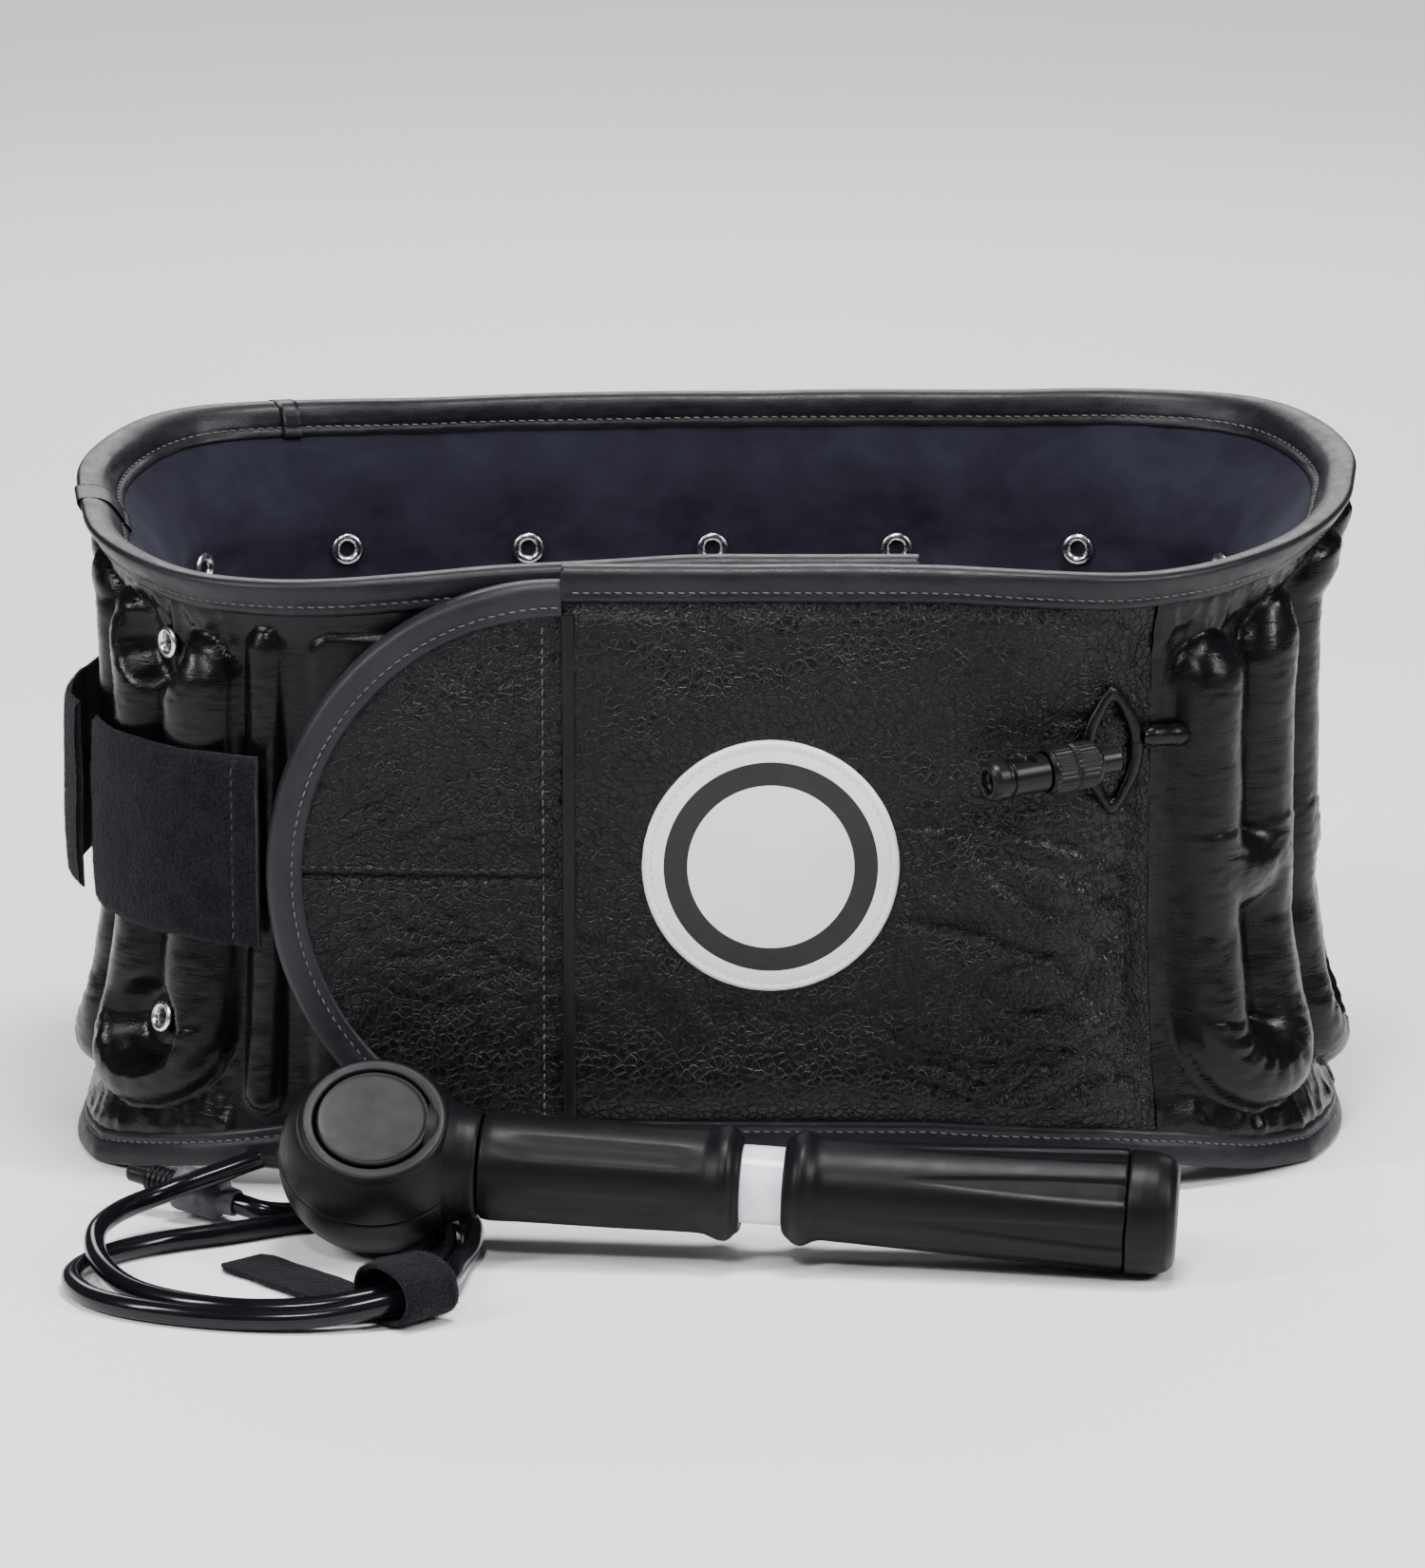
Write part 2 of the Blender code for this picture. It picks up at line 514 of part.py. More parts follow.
lathe("piston", HEAD, P_DIR, [(44.0, 0), (44.0, 8.25), (51.0, 8.25), (51.0, 2.4), (188.2, 2.4), (188.2, 0)], 16, "tube_plastic")

BARB = np.array([-0.80, 0.58, -0.16])
BARB /= np.linalg.norm(BARB)
lathe("hose_barb", HEAD, BARB, [(25.1, 0), (25.1, 4.6), (26.6, 4.6), (27.2, 3.6), (28.6, 3.4), (28.6, 0)], 12, "pump_plastic")

# ---------------------------------------------------------------- hose
ROUTE = [
    HEAD + BARB * 29.4, HEAD + BARB * 35.0,
    (-127, -107.5, 15.0), (-140, -111, 11.0), (-151, -122, 9.2), (-155.6, -140, 8.8), (-153, -157, 6.4), (-143.5, -172.5, 4.0), (-121, -186.0, 3.4), (-100, -189.0, 4.2),
    (-84, -186.5, 6.0), (-75, -178.5, 6.3), (-71.5, -166, 5.0), (-69.5, -148, 3.4), (-67.5, -130, 3.0), (-71, -112, 3.0), (-86, -103.4, 3.0), (-104, -109.5, 3.0),
    (-125, -121, 3.0), (-140, -128.5, 3.0), (-153.5, -140.5, 3.0), (-160.2, -157, 3.0), (-155.5, -173, 3.0), (-145, -183.5, 3.0), (-121, -193.2, 3.0), (-98, -195.6, 3.8),
    (-81, -192.0, 6.0), (-70.5, -182, 6.3), (-65.5, -168, 5.0), (-63.3, -148, 3.2), (-61.0, -130, 3.0), (-63.5, -108, 3.0), (-79, -96.4, 3.0), (-97, -99.4, 3.0), (-107, -104.6, 3.6), (-115.2, -107.4, 4.8), (-122.0, -104.0, 5.9),
]
PLUG_D = np.array([-0.88, 0.44, 0.13])
PLUG_D /= np.linalg.norm(PLUG_D)


def smooth_path(points, step):
    """Points each step mm along a centripetal Catmull-Rom curve."""
    pts = [np.asarray(p, float) for p in points]
    pts = [2 * pts[0] - pts[1], *pts, 2 * pts[-1] - pts[-2]]
    dense = []
    for i in range(1, len(pts) - 2):
        p0, p1, p2, p3 = pts[i - 1:i + 3]
        t0 = 0.0
        t1 = t0 + np.linalg.norm(p1 - p0) ** 0.5
        t2 = t1 + np.linalg.norm(p2 - p1) ** 0.5
        t3 = t2 + np.linalg.norm(p3 - p2) ** 0.5
        for t in np.linspace(t1, t2, 12, endpoint=False):
            a1 = (t1 - t) / (t1 - t0) * p0 + (t - t0) / (t1 - t0) * p1
            a2 = (t2 - t) / (t2 - t1) * p1 + (t - t1) / (t2 - t1) * p2
            a3 = (t3 - t) / (t3 - t2) * p2 + (t - t2) / (t3 - t2) * p3
            b1 = (t2 - t) / (t2 - t0) * a1 + (t - t0) / (t2 - t0) * a2
            b2 = (t3 - t) / (t3 - t1) * a2 + (t - t1) / (t3 - t1) * a3
            dense.append((t2 - t) / (t2 - t1) * b1 + (t - t1) / (t2 - t1) * b2)
    dense.append(pts[-2])
    dense = np.array(dense)
    run = np.concatenate([[0], np.cumsum(np.linalg.norm(np.diff(dense, axis=0), axis=1))])
    at = np.linspace(0, run[-1], max(2, round(run[-1] / step)) + 1)
    return np.stack([np.interp(at, run, dense[:, k]) for k in range(3)], axis=1), run[-1]


hose_points, HOSE_LENGTH = smooth_path(ROUTE, 11.0)
curve = bpy.data.curves.new("hose", "CURVE")
curve.dimensions = "3D"
curve.bevel_depth = HOSE_R * 0.001
curve.bevel_resolution = 2
curve.use_fill_caps = True
spline = curve.splines.new("POLY")
spline.points.add(len(hose_points) - 1)
for point, co in zip(spline.points, hose_points):
    point.co = (*((co + SHIFT) * 0.001), 1)
hose = bpy.data.objects.new("hose", curve)
hose.data.materials.append(MATS["hose_vinyl"])
parts.objects.link(hose)

plug0 = np.array(ROUTE[-1]) + PLUG_D * 0.7
lathe("hose_plug", plug0, PLUG_D, [(0, 0), (0, 3.4), (4.0, 3.8), (4.6, 5.7), (17.0, 5.7), (18.0, 3.8), (25.0, 3.8), (25.8, 2.6), (32.0, 2.6), (32.6, 2.2), (32.6, 0)], 14, "connector_plastic")

T = np.array([-77.6, -184.7, 0.0])
T_U = np.array([0.74, 0.67, 0.0])
T_W = np.array([-0.67, 0.74, 0.0])
T_PATH = [(62.0, 1.0), (34.0, 1.0), (10.0, 1.0), (-6.0, 1.0), (-10.0, 3.2), (-11.4, 7.4), (-9.0, 11.6), (-4.0, 13.4), (3.0, 13.4), (8.4, 11.6), (10.8, 7.6), (9.8, 4.4)]
rings = []
for k, (w, z) in enumerate(T_PATH):
    before = np.array(T_PATH[max(0, k - 1)])
    after = np.array(T_PATH[min(len(T_PATH) - 1, k + 1)])
    d = after - before
    d = d / np.linalg.norm(d)
    nw, nz = -d[1] * 0.7, d[0] * 0.7
    rings.append([T + T_W * (w + sw * nw) + T_U * su * 8.5 + np.array([0, 0, z + sw * nz]) for su, sw in ((-1, -1), (1, -1), (1, 1), (-1, 1))])
loft("hose_tie", rings, "strap_fabric")


# ---------------------------------------------------------------- origins of the two hinged ends, on their joint axes. The turned moving pieces have theirs already
def put_origin(names, point):
    at = mathutils.Vector(tuple((np.asarray(point, float) + SHIFT) * 0.001))
    for name in names:
        obj = bpy.data.objects[name]
        obj.data.transform(mathutils.Matrix.Translation(-at))
        obj.location = at


put_origin(["flap_panel", "flap_lining", "flap_hook", "flap_binding"], (SEAM_X - 0.3, FRONT_Y - 5.9, 87.3))
put_origin(["strap_front"], wall(-230.6, 95.0, 15.0))
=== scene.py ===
"""Looks of the inflatable lumbar support belt and its hand pump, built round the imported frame."""

import json
import math

import bpy
import numpy as np
from mathutils import Matrix, Vector

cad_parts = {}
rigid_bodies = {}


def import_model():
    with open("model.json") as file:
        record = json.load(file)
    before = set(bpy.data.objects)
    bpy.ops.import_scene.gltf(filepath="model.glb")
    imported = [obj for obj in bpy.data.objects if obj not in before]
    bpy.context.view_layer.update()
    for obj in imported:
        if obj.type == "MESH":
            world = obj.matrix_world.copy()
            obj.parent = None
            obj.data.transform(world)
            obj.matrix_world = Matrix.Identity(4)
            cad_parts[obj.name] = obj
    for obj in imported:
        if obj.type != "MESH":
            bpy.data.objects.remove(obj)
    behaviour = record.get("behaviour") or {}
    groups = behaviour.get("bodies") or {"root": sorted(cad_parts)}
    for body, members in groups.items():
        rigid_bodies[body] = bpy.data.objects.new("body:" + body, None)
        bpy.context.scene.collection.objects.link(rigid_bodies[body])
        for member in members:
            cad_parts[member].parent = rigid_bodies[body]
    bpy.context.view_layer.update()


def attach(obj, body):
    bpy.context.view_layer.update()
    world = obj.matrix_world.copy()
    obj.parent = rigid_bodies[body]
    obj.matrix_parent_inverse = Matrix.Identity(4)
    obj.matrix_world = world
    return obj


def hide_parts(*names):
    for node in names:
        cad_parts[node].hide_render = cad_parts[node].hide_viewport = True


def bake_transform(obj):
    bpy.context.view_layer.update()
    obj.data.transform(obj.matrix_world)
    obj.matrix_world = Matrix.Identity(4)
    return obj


for old in list(bpy.data.objects):
    bpy.data.objects.remove(old)
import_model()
MM = 0.001
SHIFT = np.array([-0.2, 32.9, 0.0])

# ================================================================ camera
cam_data = bpy.data.cameras.new("camera")
cam_data.lens = 162.24
cam_data.sensor_width = 36.0
camera = bpy.data.objects.new("camera", cam_data)
bpy.context.scene.collection.objects.link(camera)
camera.location = (-0.0002, -1.8184, 0.5201)
camera.rotation_euler = (math.radians(90 - 13.0), 0, 0)
cam_data.clip_start, cam_data.clip_end = 0.05, 50
bpy.context.scene.camera = camera

# ================================================================ the belt's dimensions, as in the part, mm
HALF_W, CORNER_R, FRONT_R, BACK_Y, TAIL_Y, FRONT_Y = 151.0, 62.0, 85.0, 82.0, -72.0, -80.0
TAIL_X, SEAM_X, PITCH, ROW_HI, ROW_LO = 53.0, -39.5, 25.6, 142.0, 41.0
CELL_H = 10.5
SIDE_L0, SIDE_L1 = TAIL_Y + CORNER_R, BACK_Y - CORNER_R
CX = HALF_W - CORNER_R
FX, FY = HALF_W - FRONT_R, FRONT_Y + FRONT_R
QUARTER = math.pi / 2
SEGS = [
    ("line", (TAIL_X, TAIL_Y), (-CX, TAIL_Y)),
    ("arc", (-CX, SIDE_L0), CORNER_R, -QUARTER),
    ("line", (-HALF_W, SIDE_L0), (-HALF_W, SIDE_L1)),
    ("arc", (-CX, SIDE_L1), CORNER_R, -math.pi),
    ("line", (-CX, BACK_Y), (CX, BACK_Y)),
    ("arc", (CX, SIDE_L1), CORNER_R, QUARTER),
    ("line", (HALF_W, SIDE_L1), (HALF_W, FY)),
    ("arc", (FX, FY), FRONT_R, 0.0),
    ("line", (FX, FRONT_Y), (-125.0, FRONT_Y)),
]
LENGTHS = [math.dist(s[1], s[2]) if s[0] == "line" else s[2] * QUARTER for s in SEGS]
ZERO = sum(LENGTHS[:4]) + CX
START = -ZERO


def sigma_front(x):
    return -ZERO + sum(LENGTHS[:8]) + (FX - x)


S_END = sigma_front(SEAM_X + 0.8)


def plan(s):
    """Points and outward normals on the wall's middle line."""
    s = np.asarray(s, float)
    left = s + ZERO
    px, py, nx, ny = (np.zeros_like(s) for _ in range(4))
    run = 0.0
    for i, (seg, length) in enumerate(zip(SEGS, LENGTHS)):
        here = (left >= run - (1e9 if i == 0 else 0)) & (left < run + length + (1e9 if i == len(SEGS) - 1 else 0))
        l = left - run
        if seg[0] == "line":
            a, b = np.array(seg[1]), np.array(seg[2])
            t = (b - a) / math.dist(a, b)
            x, y = a[0] + t[0] * l, a[1] + t[1] * l
            u, v = -t[1] + 0 * l, t[0] + 0 * l
        else:
            ang = seg[3] - l / seg[2]
            u, v = np.cos(ang), np.sin(ang)
            x, y = seg[1][0] + seg[2] * u, seg[1][1] + seg[2] * v
        px, py, nx, ny = np.where(here, x, px), np.where(here, y, py), np.where(here, u, nx), np.where(here, v, ny)
        run += length
    return px, py, nx, ny


def eased(s, xs, ys, reach=11.0):
    """Straight-line interpolation, rounded over reach mm at its corners."""
    s = np.asarray(s, float)
    lags, weights = np.array([-1.0, -0.6, -0.2, 0.2, 0.6, 1.0]) * reach, np.array([0.6, 1.0, 1.3, 1.3, 1.0, 0.6])
    return sum(w * np.interp(s + d, xs, ys) for d, w in zip(lags, weights)) / weights.sum()


def top_z(s):
    return eased(s, [START, -400, -345, -325, -300, -265, -243.2, -192, -140, -107, -64, 0, 64, 92, 140, 192, 243.2, 266, 293, 340, 520],
                 [169.5, 169.5, 166.5, 164.5, 163, 162.3, 166, 173, 181.5, 181.5, 183.5, 184.7, 185, 184.7, 184.3, 176.5, 168, 165.5, 164.8, 168.5, 168.5])


def low_z(s):
    return np.interp(s, [START, -345, -300, -275, -250, -243.2, 243.2, 260, 280, 300, 345, 520], [13, 12.5, 11, 6, 1, 0, 0, 2, 6.5, 9.5, 12.5, 13])


def flare(s, z):
    top = eased(s, [-330, -300, -243.2, -192, -140, -110, -89.6, 89.6, 110, 140, 192, 243.2, 300, 330], [0, 8, 20, 24, 24, 14, 5, 5, 14, 26, 24, 20, 8, 0], 15.0)
    low = np.interp(s, [-320, -243.2, -192, -89.6, 89.6, 192, 243.2, 320], [0, 18, 17, 4, 4, 17, 18, 0])
    return top * np.interp(z, [147.5, 158, 172, 185], [0, 0.25, 0.7, 1.0]) + low * np.interp(z, [0, 9.5, 28, 46, 68], [1, 0.83, 0.48, 0.2, 0])


def wall(s, z, off):
    """Frame points in metres."""
    s, z, off = np.broadcast_arrays(np.asarray(s, float), np.asarray(z, float), np.asarray(off, float))
    px, py, nx, ny = plan(s)
    d = off + flare(s, z)
    return np.stack([px + nx * d + SHIFT[0], py + ny * d + SHIFT[1], z + 0.0], axis=-1) * MM


# ================================================================ noise
_rng = np.random.default_rng(7)
_G = _rng.normal(size=(256, 2))
_G /= np.linalg.norm(_G, axis=1)[:, None]
_P = np.concatenate([_rng.permutation(256)] * 3)


def noise(x, y, seed=0):
    """Gradient noise, about -1 to 1."""
    x, y = np.broadcast_arrays(np.asarray(x, float) + seed * 17.31, np.asarray(y, float) - seed * 9.73)
    xi, yi = np.floor(x).astype(int), np.floor(y).astype(int)
    fx, fy = x - xi, y - yi

    def corner(i, j):
        g = _G[_P[(_P[(xi + i) & 255] + yi + j) & 255]]
        return g[..., 0] * (fx - i) + g[..., 1] * (fy - j)

    u, v = fx * fx * fx * (fx * (fx * 6 - 15) + 10), fy * fy * fy * (fy * (fy * 6 - 15) + 10)
    a, b = corner(0, 0) * (1 - u) + corner(1, 0) * u, corner(0, 1) * (1 - u) + corner(1, 1) * u
    return (a * (1 - v) + b * v) * 1.5


def fbm(x, y, seed=0, octaves=3):
    total, amp, f = 0.0, 1.0, 1.0
    for k in range(octaves):
        total = total + amp * noise(x * f, y * f, seed + k * 3)
        amp *= 0.5
        f *= 2.03
    return total / 1.6


def ridge(x, y, seed=0):
    """Sharp creases: 0 away from them, 1 on them."""
    return np.clip(1 - np.abs(noise(x, y, seed)) * 3.2, 0, 1) ** 2


def step(a, b, x):
    t = np.clip((x - a) / (b - a), 0, 1)
    return t * t * (3 - 2 * t)


def smax(a, b, k):
    h = np.clip(0.5 + 0.5 * (a - b) / k, 0, 1)
    return b * (1 - h) + a * h + k * h * (1 - h)


# ================================================================ mesh helpers
def make(name, points, faces, mat, body, smooth=True, sharp=None):
    mesh = bpy.data.meshes.new(name)
    mesh.from_pydata(np.asarray(points, float).tolist(), [], faces if isinstance(faces, list) else faces.tolist())
    mesh.update()
    if smooth:
        mesh.shade_smooth()
        if sharp:
            mesh.set_sharp_from_angle(angle=math.radians(sharp))
    obj = bpy.data.objects.new(name, mesh)
    bpy.context.scene.collection.objects.link(obj)
    if mat:
        mesh.materials.append(mat)
    if body:
        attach(obj, body)
    return obj


def quads(rows, cols, close_rows=False, close_cols=False, base=0):
    i = np.arange(rows if close_rows else rows - 1)[:, None]
    j = np.arange(cols if close_cols else cols - 1)[None, :]
    i2, j2 = (i + 1) % rows, (j + 1) % cols
    return np.stack([base + i * cols + j, base + i2 * cols + j, base + i2 * cols + j2, base + i * cols + j2], axis=-1).reshape(-1, 4)


def grid(name, P, mat, body, flip=False, close_rows=False, close_cols=False):
    rows, cols = P.shape[:2]
    f = quads(rows, cols, close_rows, close_cols)
    if flip:
        f = f[:, ::-1]
    return make(name, P.reshape(-1, 3), f, mat, body)


def frame_of(axis):
    axis = np.asarray(axis, float)
    axis = axis / np.linalg.norm(axis)
    side = np.cross(axis, [0, 0, 1])
    if np.linalg.norm(side) < 1e-3:
        side = np.cross(axis, [0, 1, 0])
    side /= np.linalg.norm(side)
    return axis, side, np.cross(side, axis)


def fillet(profile, r=0.4, n=4, closed=False):
    """Rounds the corners of an (a, radius) profile."""
    pts = [np.asarray(p, float) for p in profile]
    out = []
    count = len(pts)
    for k in range(count):
        if not closed and k in (0, count - 1):
            out.append(pts[k])
            continue
        a, p, b = pts[k - 1], pts[k], pts[(k + 1) % count]
        d1, d2 = a - p, b - p
        l1, l2 = np.linalg.norm(d1), np.linalg.norm(d2)
        if l1 < 1e-6 or l2 < 1e-6:
            continue
        w = min(r, l1 * 0.45, l2 * 0.45)
        q1, q2 = p + d1 / l1 * w, p + d2 / l2 * w
        for i in range(n + 1):
            t = i / n
            out.append((1 - t) ** 2 * q1 + 2 * t * (1 - t) * p + t * t * q2)
    return out


def turned(name, origin, axis, profile, seg, mat, body, shape=None, closed=False, sharp=None):
    """Turned piece; shape(a, theta) adds to the radius. origin in unshifted mm."""
    axis, u, v = frame_of(axis)
    prof = np.array([[p[0], max(p[1], 0.0)] for p in profile])
    th = np.arange(seg) * 2 * math.pi / seg
    a = prof[:, 0][:, None] + 0 * th[None, :]
    r = prof[:, 1][:, None] + 0 * th[None, :]
    if shape is not None:
        r = np.where(r > 0.05, r + shape(a, th[None, :] + 0 * a), r)
    P = (np.asarray(origin, float) + SHIFT)[None, None] + axis * a[..., None] + (u * np.cos(th)[None, :, None] + v * np.sin(th)[None, :, None]) * r[..., None]
    faces = quads(len(prof), seg, closed, True)
    obj = make(name, P.reshape(-1, 3) * MM, faces, mat, body, True, sharp)
    import bmesh

    bm = bmesh.new()
    bm.from_mesh(obj.data)
    bmesh.ops.remove_doubles(bm, verts=bm.verts, dist=1e-6)
    bmesh.ops.recalc_face_normals(bm, faces=bm.faces)
    bm.to_mesh(obj.data)
    bm.free()
    obj.data.shade_smooth()
    if sharp:
        obj.data.set_sharp_from_angle(angle=math.radians(sharp))
    return obj


def sweep(name, path, normals, sides, section, mat, body, cap=True, close=False):
    """Sweeps a closed section of (side, normal) offsets in mm along a path in metres. section may differ at each point."""
    path, normals, sides = (np.asarray(x, float) for x in (path, normals, sides))
    sec = np.asarray(section, float)
    if sec.ndim == 2:
        sec = np.broadcast_to(sec, (len(path), *sec.shape))
    P = path[:, None] + sides[:, None] * sec[..., 0:1] * MM + normals[:, None] * sec[..., 1:2] * MM
    rows, cols = P.shape[:2]
    faces = quads(rows, cols, close, True).tolist()
    if cap and not close:
        faces.append(list(range(cols))[::-1])
        faces.append([(rows - 1) * cols + j for j in range(cols)])
    return make(name, P.reshape(-1, 3), faces, mat, body)


def stitches(name, path, normals, mat, body, pitch=2.7, length=1.9, radius=0.26, lift=0.05, phase=0.0):
    """Separate thread stitches along a path, each a small capsule that dips into the surface at both ends. Path in metres."""
    path, normals = np.asarray(path, float), np.asarray(normals, float)
    run = np.concatenate([[0], np.cumsum(np.linalg.norm(np.diff(path, axis=0), axis=1))])
    total = run[-1] / MM
    starts = np.arange(phase, total - length, pitch)
    ks = np.array([-0.5, -0.42, -0.2, 0.2, 0.42, 0.5])
    rad = np.array([0.25, 0.75, 1.0, 1.0, 0.75, 0.25]) * radius
    dip = np.array([-0.32, -0.12, 0.0, 0.0, -0.12, -0.32])
    seg = 6
    pts, faces = [], []
    for n, s0 in enumerate(starts):
        mid = s0 + length / 2
        at = (mid + ks * length) * MM
        c = np.stack([np.interp(at, run, path[:, k]) for k in range(3)], axis=1)
        nm = np.array([np.interp(mid * MM, run, normals[:, k]) for k in range(3)])
        nm /= np.linalg.norm(nm)
        t = c[-1] - c[0]
        t /= np.linalg.norm(t)
        side = np.cross(t, nm)
        side /= np.linalg.norm(side)
        # a stitch leans slightly across its line
        lean = 0.10
        c = c + side * (ks * length * lean * MM)[:, None] + nm * ((dip + lift) * MM)[:, None]
        base = len(pts)
        for k in range(len(ks)):
            for j in range(seg):
                w = 2 * math.pi * j / seg
                pts.append(c[k] + (side * math.cos(w) + nm * math.sin(w)) * rad[k] * MM)
        f = quads(len(ks), seg, False, True, base).tolist()
        f.append([base + j for j in range(seg)][::-1])
        f.append([base + (len(ks) - 1) * seg + j for j in range(seg)])
        faces += f
    return make(name, pts, faces, mat, body)


def fibres(name, P, N, count, mat, body, length=(0.5, 1.1), width=0.07, seed=1, lean=0.9, loops=False):
    """Short fibres standing on a grid of points, each a bent ribbon of two faces."""
    rng = np.random.default_rng(seed)
    rows, cols = P.shape[:2]
    i, j = rng.random(count) * (rows - 1.001), rng.random(count) * (cols - 1.001)
    i0, j0 = i.astype(int), j.astype(int)
    fi, fj = (i - i0)[:, None], (j - j0)[:, None]

    def at(A):
        return (A[i0, j0] * (1 - fi) + A[i0 + 1, j0] * fi) * (1 - fj) + (A[i0, j0 + 1] * (1 - fi) + A[i0 + 1, j0 + 1] * fi) * fj

    p, n = at(P), at(N)
    n /= np.linalg.norm(n, axis=1)[:, None]
    r = rng.normal(size=(count, 3))
    tan = r - n * (r * n).sum(1)[:, None]
    tan /= np.linalg.norm(tan, axis=1)[:, None]
    side = np.cross(n, tan) * (width * MM / 2)
    L = rng.uniform(*length, count)[:, None] * MM
    mid = p + n * L * 0.45 + tan * L * 0.25 * lean
    tip = p + n * L * 0.55 + tan * L * 0.75 * lean
    if loops:
        tip = p + tan * L * 0.6 + n * L * 0.12
    pts = np.stack([p - side, p + side, mid - side, mid + side, tip - side * 0.5, tip + side * 0.5], axis=1).reshape(-1, 3)
    b = (np.arange(count) * 6)[:, None]
    f = np.concatenate([b + np.array([[0, 1, 3, 2]]), b + np.array([[2, 3, 5, 4]])], axis=0)
    return make(name, pts, f, mat, body, smooth=False)


def grid_normals(P, out=1):
    du = np.gradient(P, axis=0)
    dv = np.gradient(P, axis=1)
    n = np.cross(du, dv) * out
    return n / np.maximum(np.linalg.norm(n, axis=-1, keepdims=True), 1e-12)


# ================================================================ materials
def principled(name, rgb, rough, metal=0.0):
    mat = bpy.data.materials.new(name)
    mat.use_nodes = True
    b = mat.node_tree.nodes["Principled BSDF"]
    b.inputs["Base Color"].default_value = (*rgb, 1)
    b.inputs["Roughness"].default_value = rough
    b.inputs["Metallic"].default_value = metal
    return mat, b


class Nodes:
    def __init__(self, mat):
        self.t = mat.node_tree
        self.n = self.t.nodes
        self.coord = self.n.new("ShaderNodeTexCoord").outputs["Object"]

    def link(self, a, b):
        self.t.links.new(a, b)

    def mapped(self, scale, rot=(0, 0, 0)):
        m = self.n.new("ShaderNodeMapping")
        m.inputs["Scale"].default_value = scale
        m.inputs["Rotation"].default_value = rot
        self.link(self.coord, m.inputs["Vector"])
        return m.outputs["Vector"]

    def noise(self, scale, detail=3.0, rough=0.5, vector=None, dist=0.0):
        x = self.n.new("ShaderNodeTexNoise")
        x.inputs["Scale"].default_value = scale
        x.inputs["Detail"].default_value = detail
        x.inputs["Roughness"].default_value = rough
        x.inputs["Distortion"].default_value = dist
        self.link(vector or self.coord, x.inputs["Vector"])
        return x.outputs["Fac"]

    def voronoi(self, scale, feature="DISTANCE_TO_EDGE", vector=None, randomness=1.0):
        x = self.n.new("ShaderNodeTexVoronoi")
        x.feature = feature
        x.inputs["Scale"].default_value = scale
        x.inputs["Randomness"].default_value = randomness
        self.link(vector or self.coord, x.inputs["Vector"])
        return x.outputs["Distance"]

    def warp(self, amount, scale, vector=None):
        """Coordinates pushed about by noise, in metres."""
        x = self.n.new("ShaderNodeTexNoise")
        x.inputs["Scale"].default_value = scale
        x.inputs["Detail"].default_value = 2.0
        self.link(vector or self.coord, x.inputs["Vector"])
        s = self.n.new("ShaderNodeVectorMath")
        s.operation = "MULTIPLY_ADD"
        s.inputs[1].default_value = (amount, amount, amount)
        self.link(x.outputs["Color"], s.inputs[0])
        self.link(vector or self.coord, s.inputs[2])
        return s.outputs["Vector"]

    def remap(self, value, a, b, c=0.0, d=1.0, smooth=False):
        m = self.n.new("ShaderNodeMapRange")
        m.interpolation_type = "SMOOTHSTEP" if smooth else "LINEAR"
        m.inputs["From Min"].default_value = a
        m.inputs["From Max"].default_value = b
        m.inputs["To Min"].default_value = c
        m.inputs["To Max"].default_value = d
        self.link(value, m.inputs["Value"])
        return m.outputs["Result"]

    def math(self, op, a, b):
        m = self.n.new("ShaderNodeMath")
        m.operation = op
        for k, x in enumerate((a, b)):
            if isinstance(x, (int, float)):
                m.inputs[k].default_value = x
            else:
                self.link(x, m.inputs[k])
        return m.outputs[0]

    def mix(self, fac, a, b):
        m = self.n.new("ShaderNodeMix")
        m.data_type = "RGBA"
        self.link(fac, m.inputs["Factor"])
        for k, x in (("A", a), ("B", b)):
            sock = [i for i in m.inputs if i.name == k and i.type == "RGBA"][0]
            sock.default_value = (*x, 1)
        return [o for o in m.outputs if o.type == "RGBA"][0]

    def bump(self, height, strength, distance, normal=None):
        b = self.n.new("ShaderNodeBump")
        b.inputs["Strength"].default_value = strength
        b.inputs["Distance"].default_value = distance
        self.link(height, b.inputs["Height"])
        if normal is not None:
            self.link(normal, b.inputs["Normal"])
        return b.outputs["Normal"]


def leather_smooth(name, dark, light, rough=0.34, crease=0.6, grain=0.35, coat=0.0, spec=0.17):
    """Coated glossy leather: fine pores and hairline creases across the columns."""
    mat, b = principled(name, dark, rough)
    k = Nodes(mat)
    w = k.warp(0.0012, 140)
    pores = k.voronoi(1250, vector=w)
    fine = k.remap(pores, 0.0, 0.35, 0.0, 1.0)
    hair = k.noise(1.0, 3.0, 0.6, k.mapped((90, 90, 620)), 0.6)
    hair_lines = k.remap(hair, 0.42, 0.56, 0.0, 1.0, True)
    broad = k.noise(38, 3.0, 0.55)
    n1 = k.bump(fine, grain * 0.6, 0.00008)
    n2 = k.bump(hair_lines, crease * 0.5, 0.00008, n1)
    n3 = k.bump(broad, 0.30, 0.0006, n2)
    k.link(n3, b.inputs["Normal"])
    k.link(k.mix(k.remap(broad, 0.35, 0.7), dark, light), b.inputs["Base Color"])
    k.link(k.remap(k.noise(210, 4.0, 0.6), 0.3, 0.7, rough - 0.05, rough + 0.10), b.inputs["Roughness"])
    b.inputs["Coat Weight"].default_value = coat
    b.inputs["Coat Roughness"].default_value = 0.22
    b.inputs["Specular IOR Level"].default_value = spec
    return mat


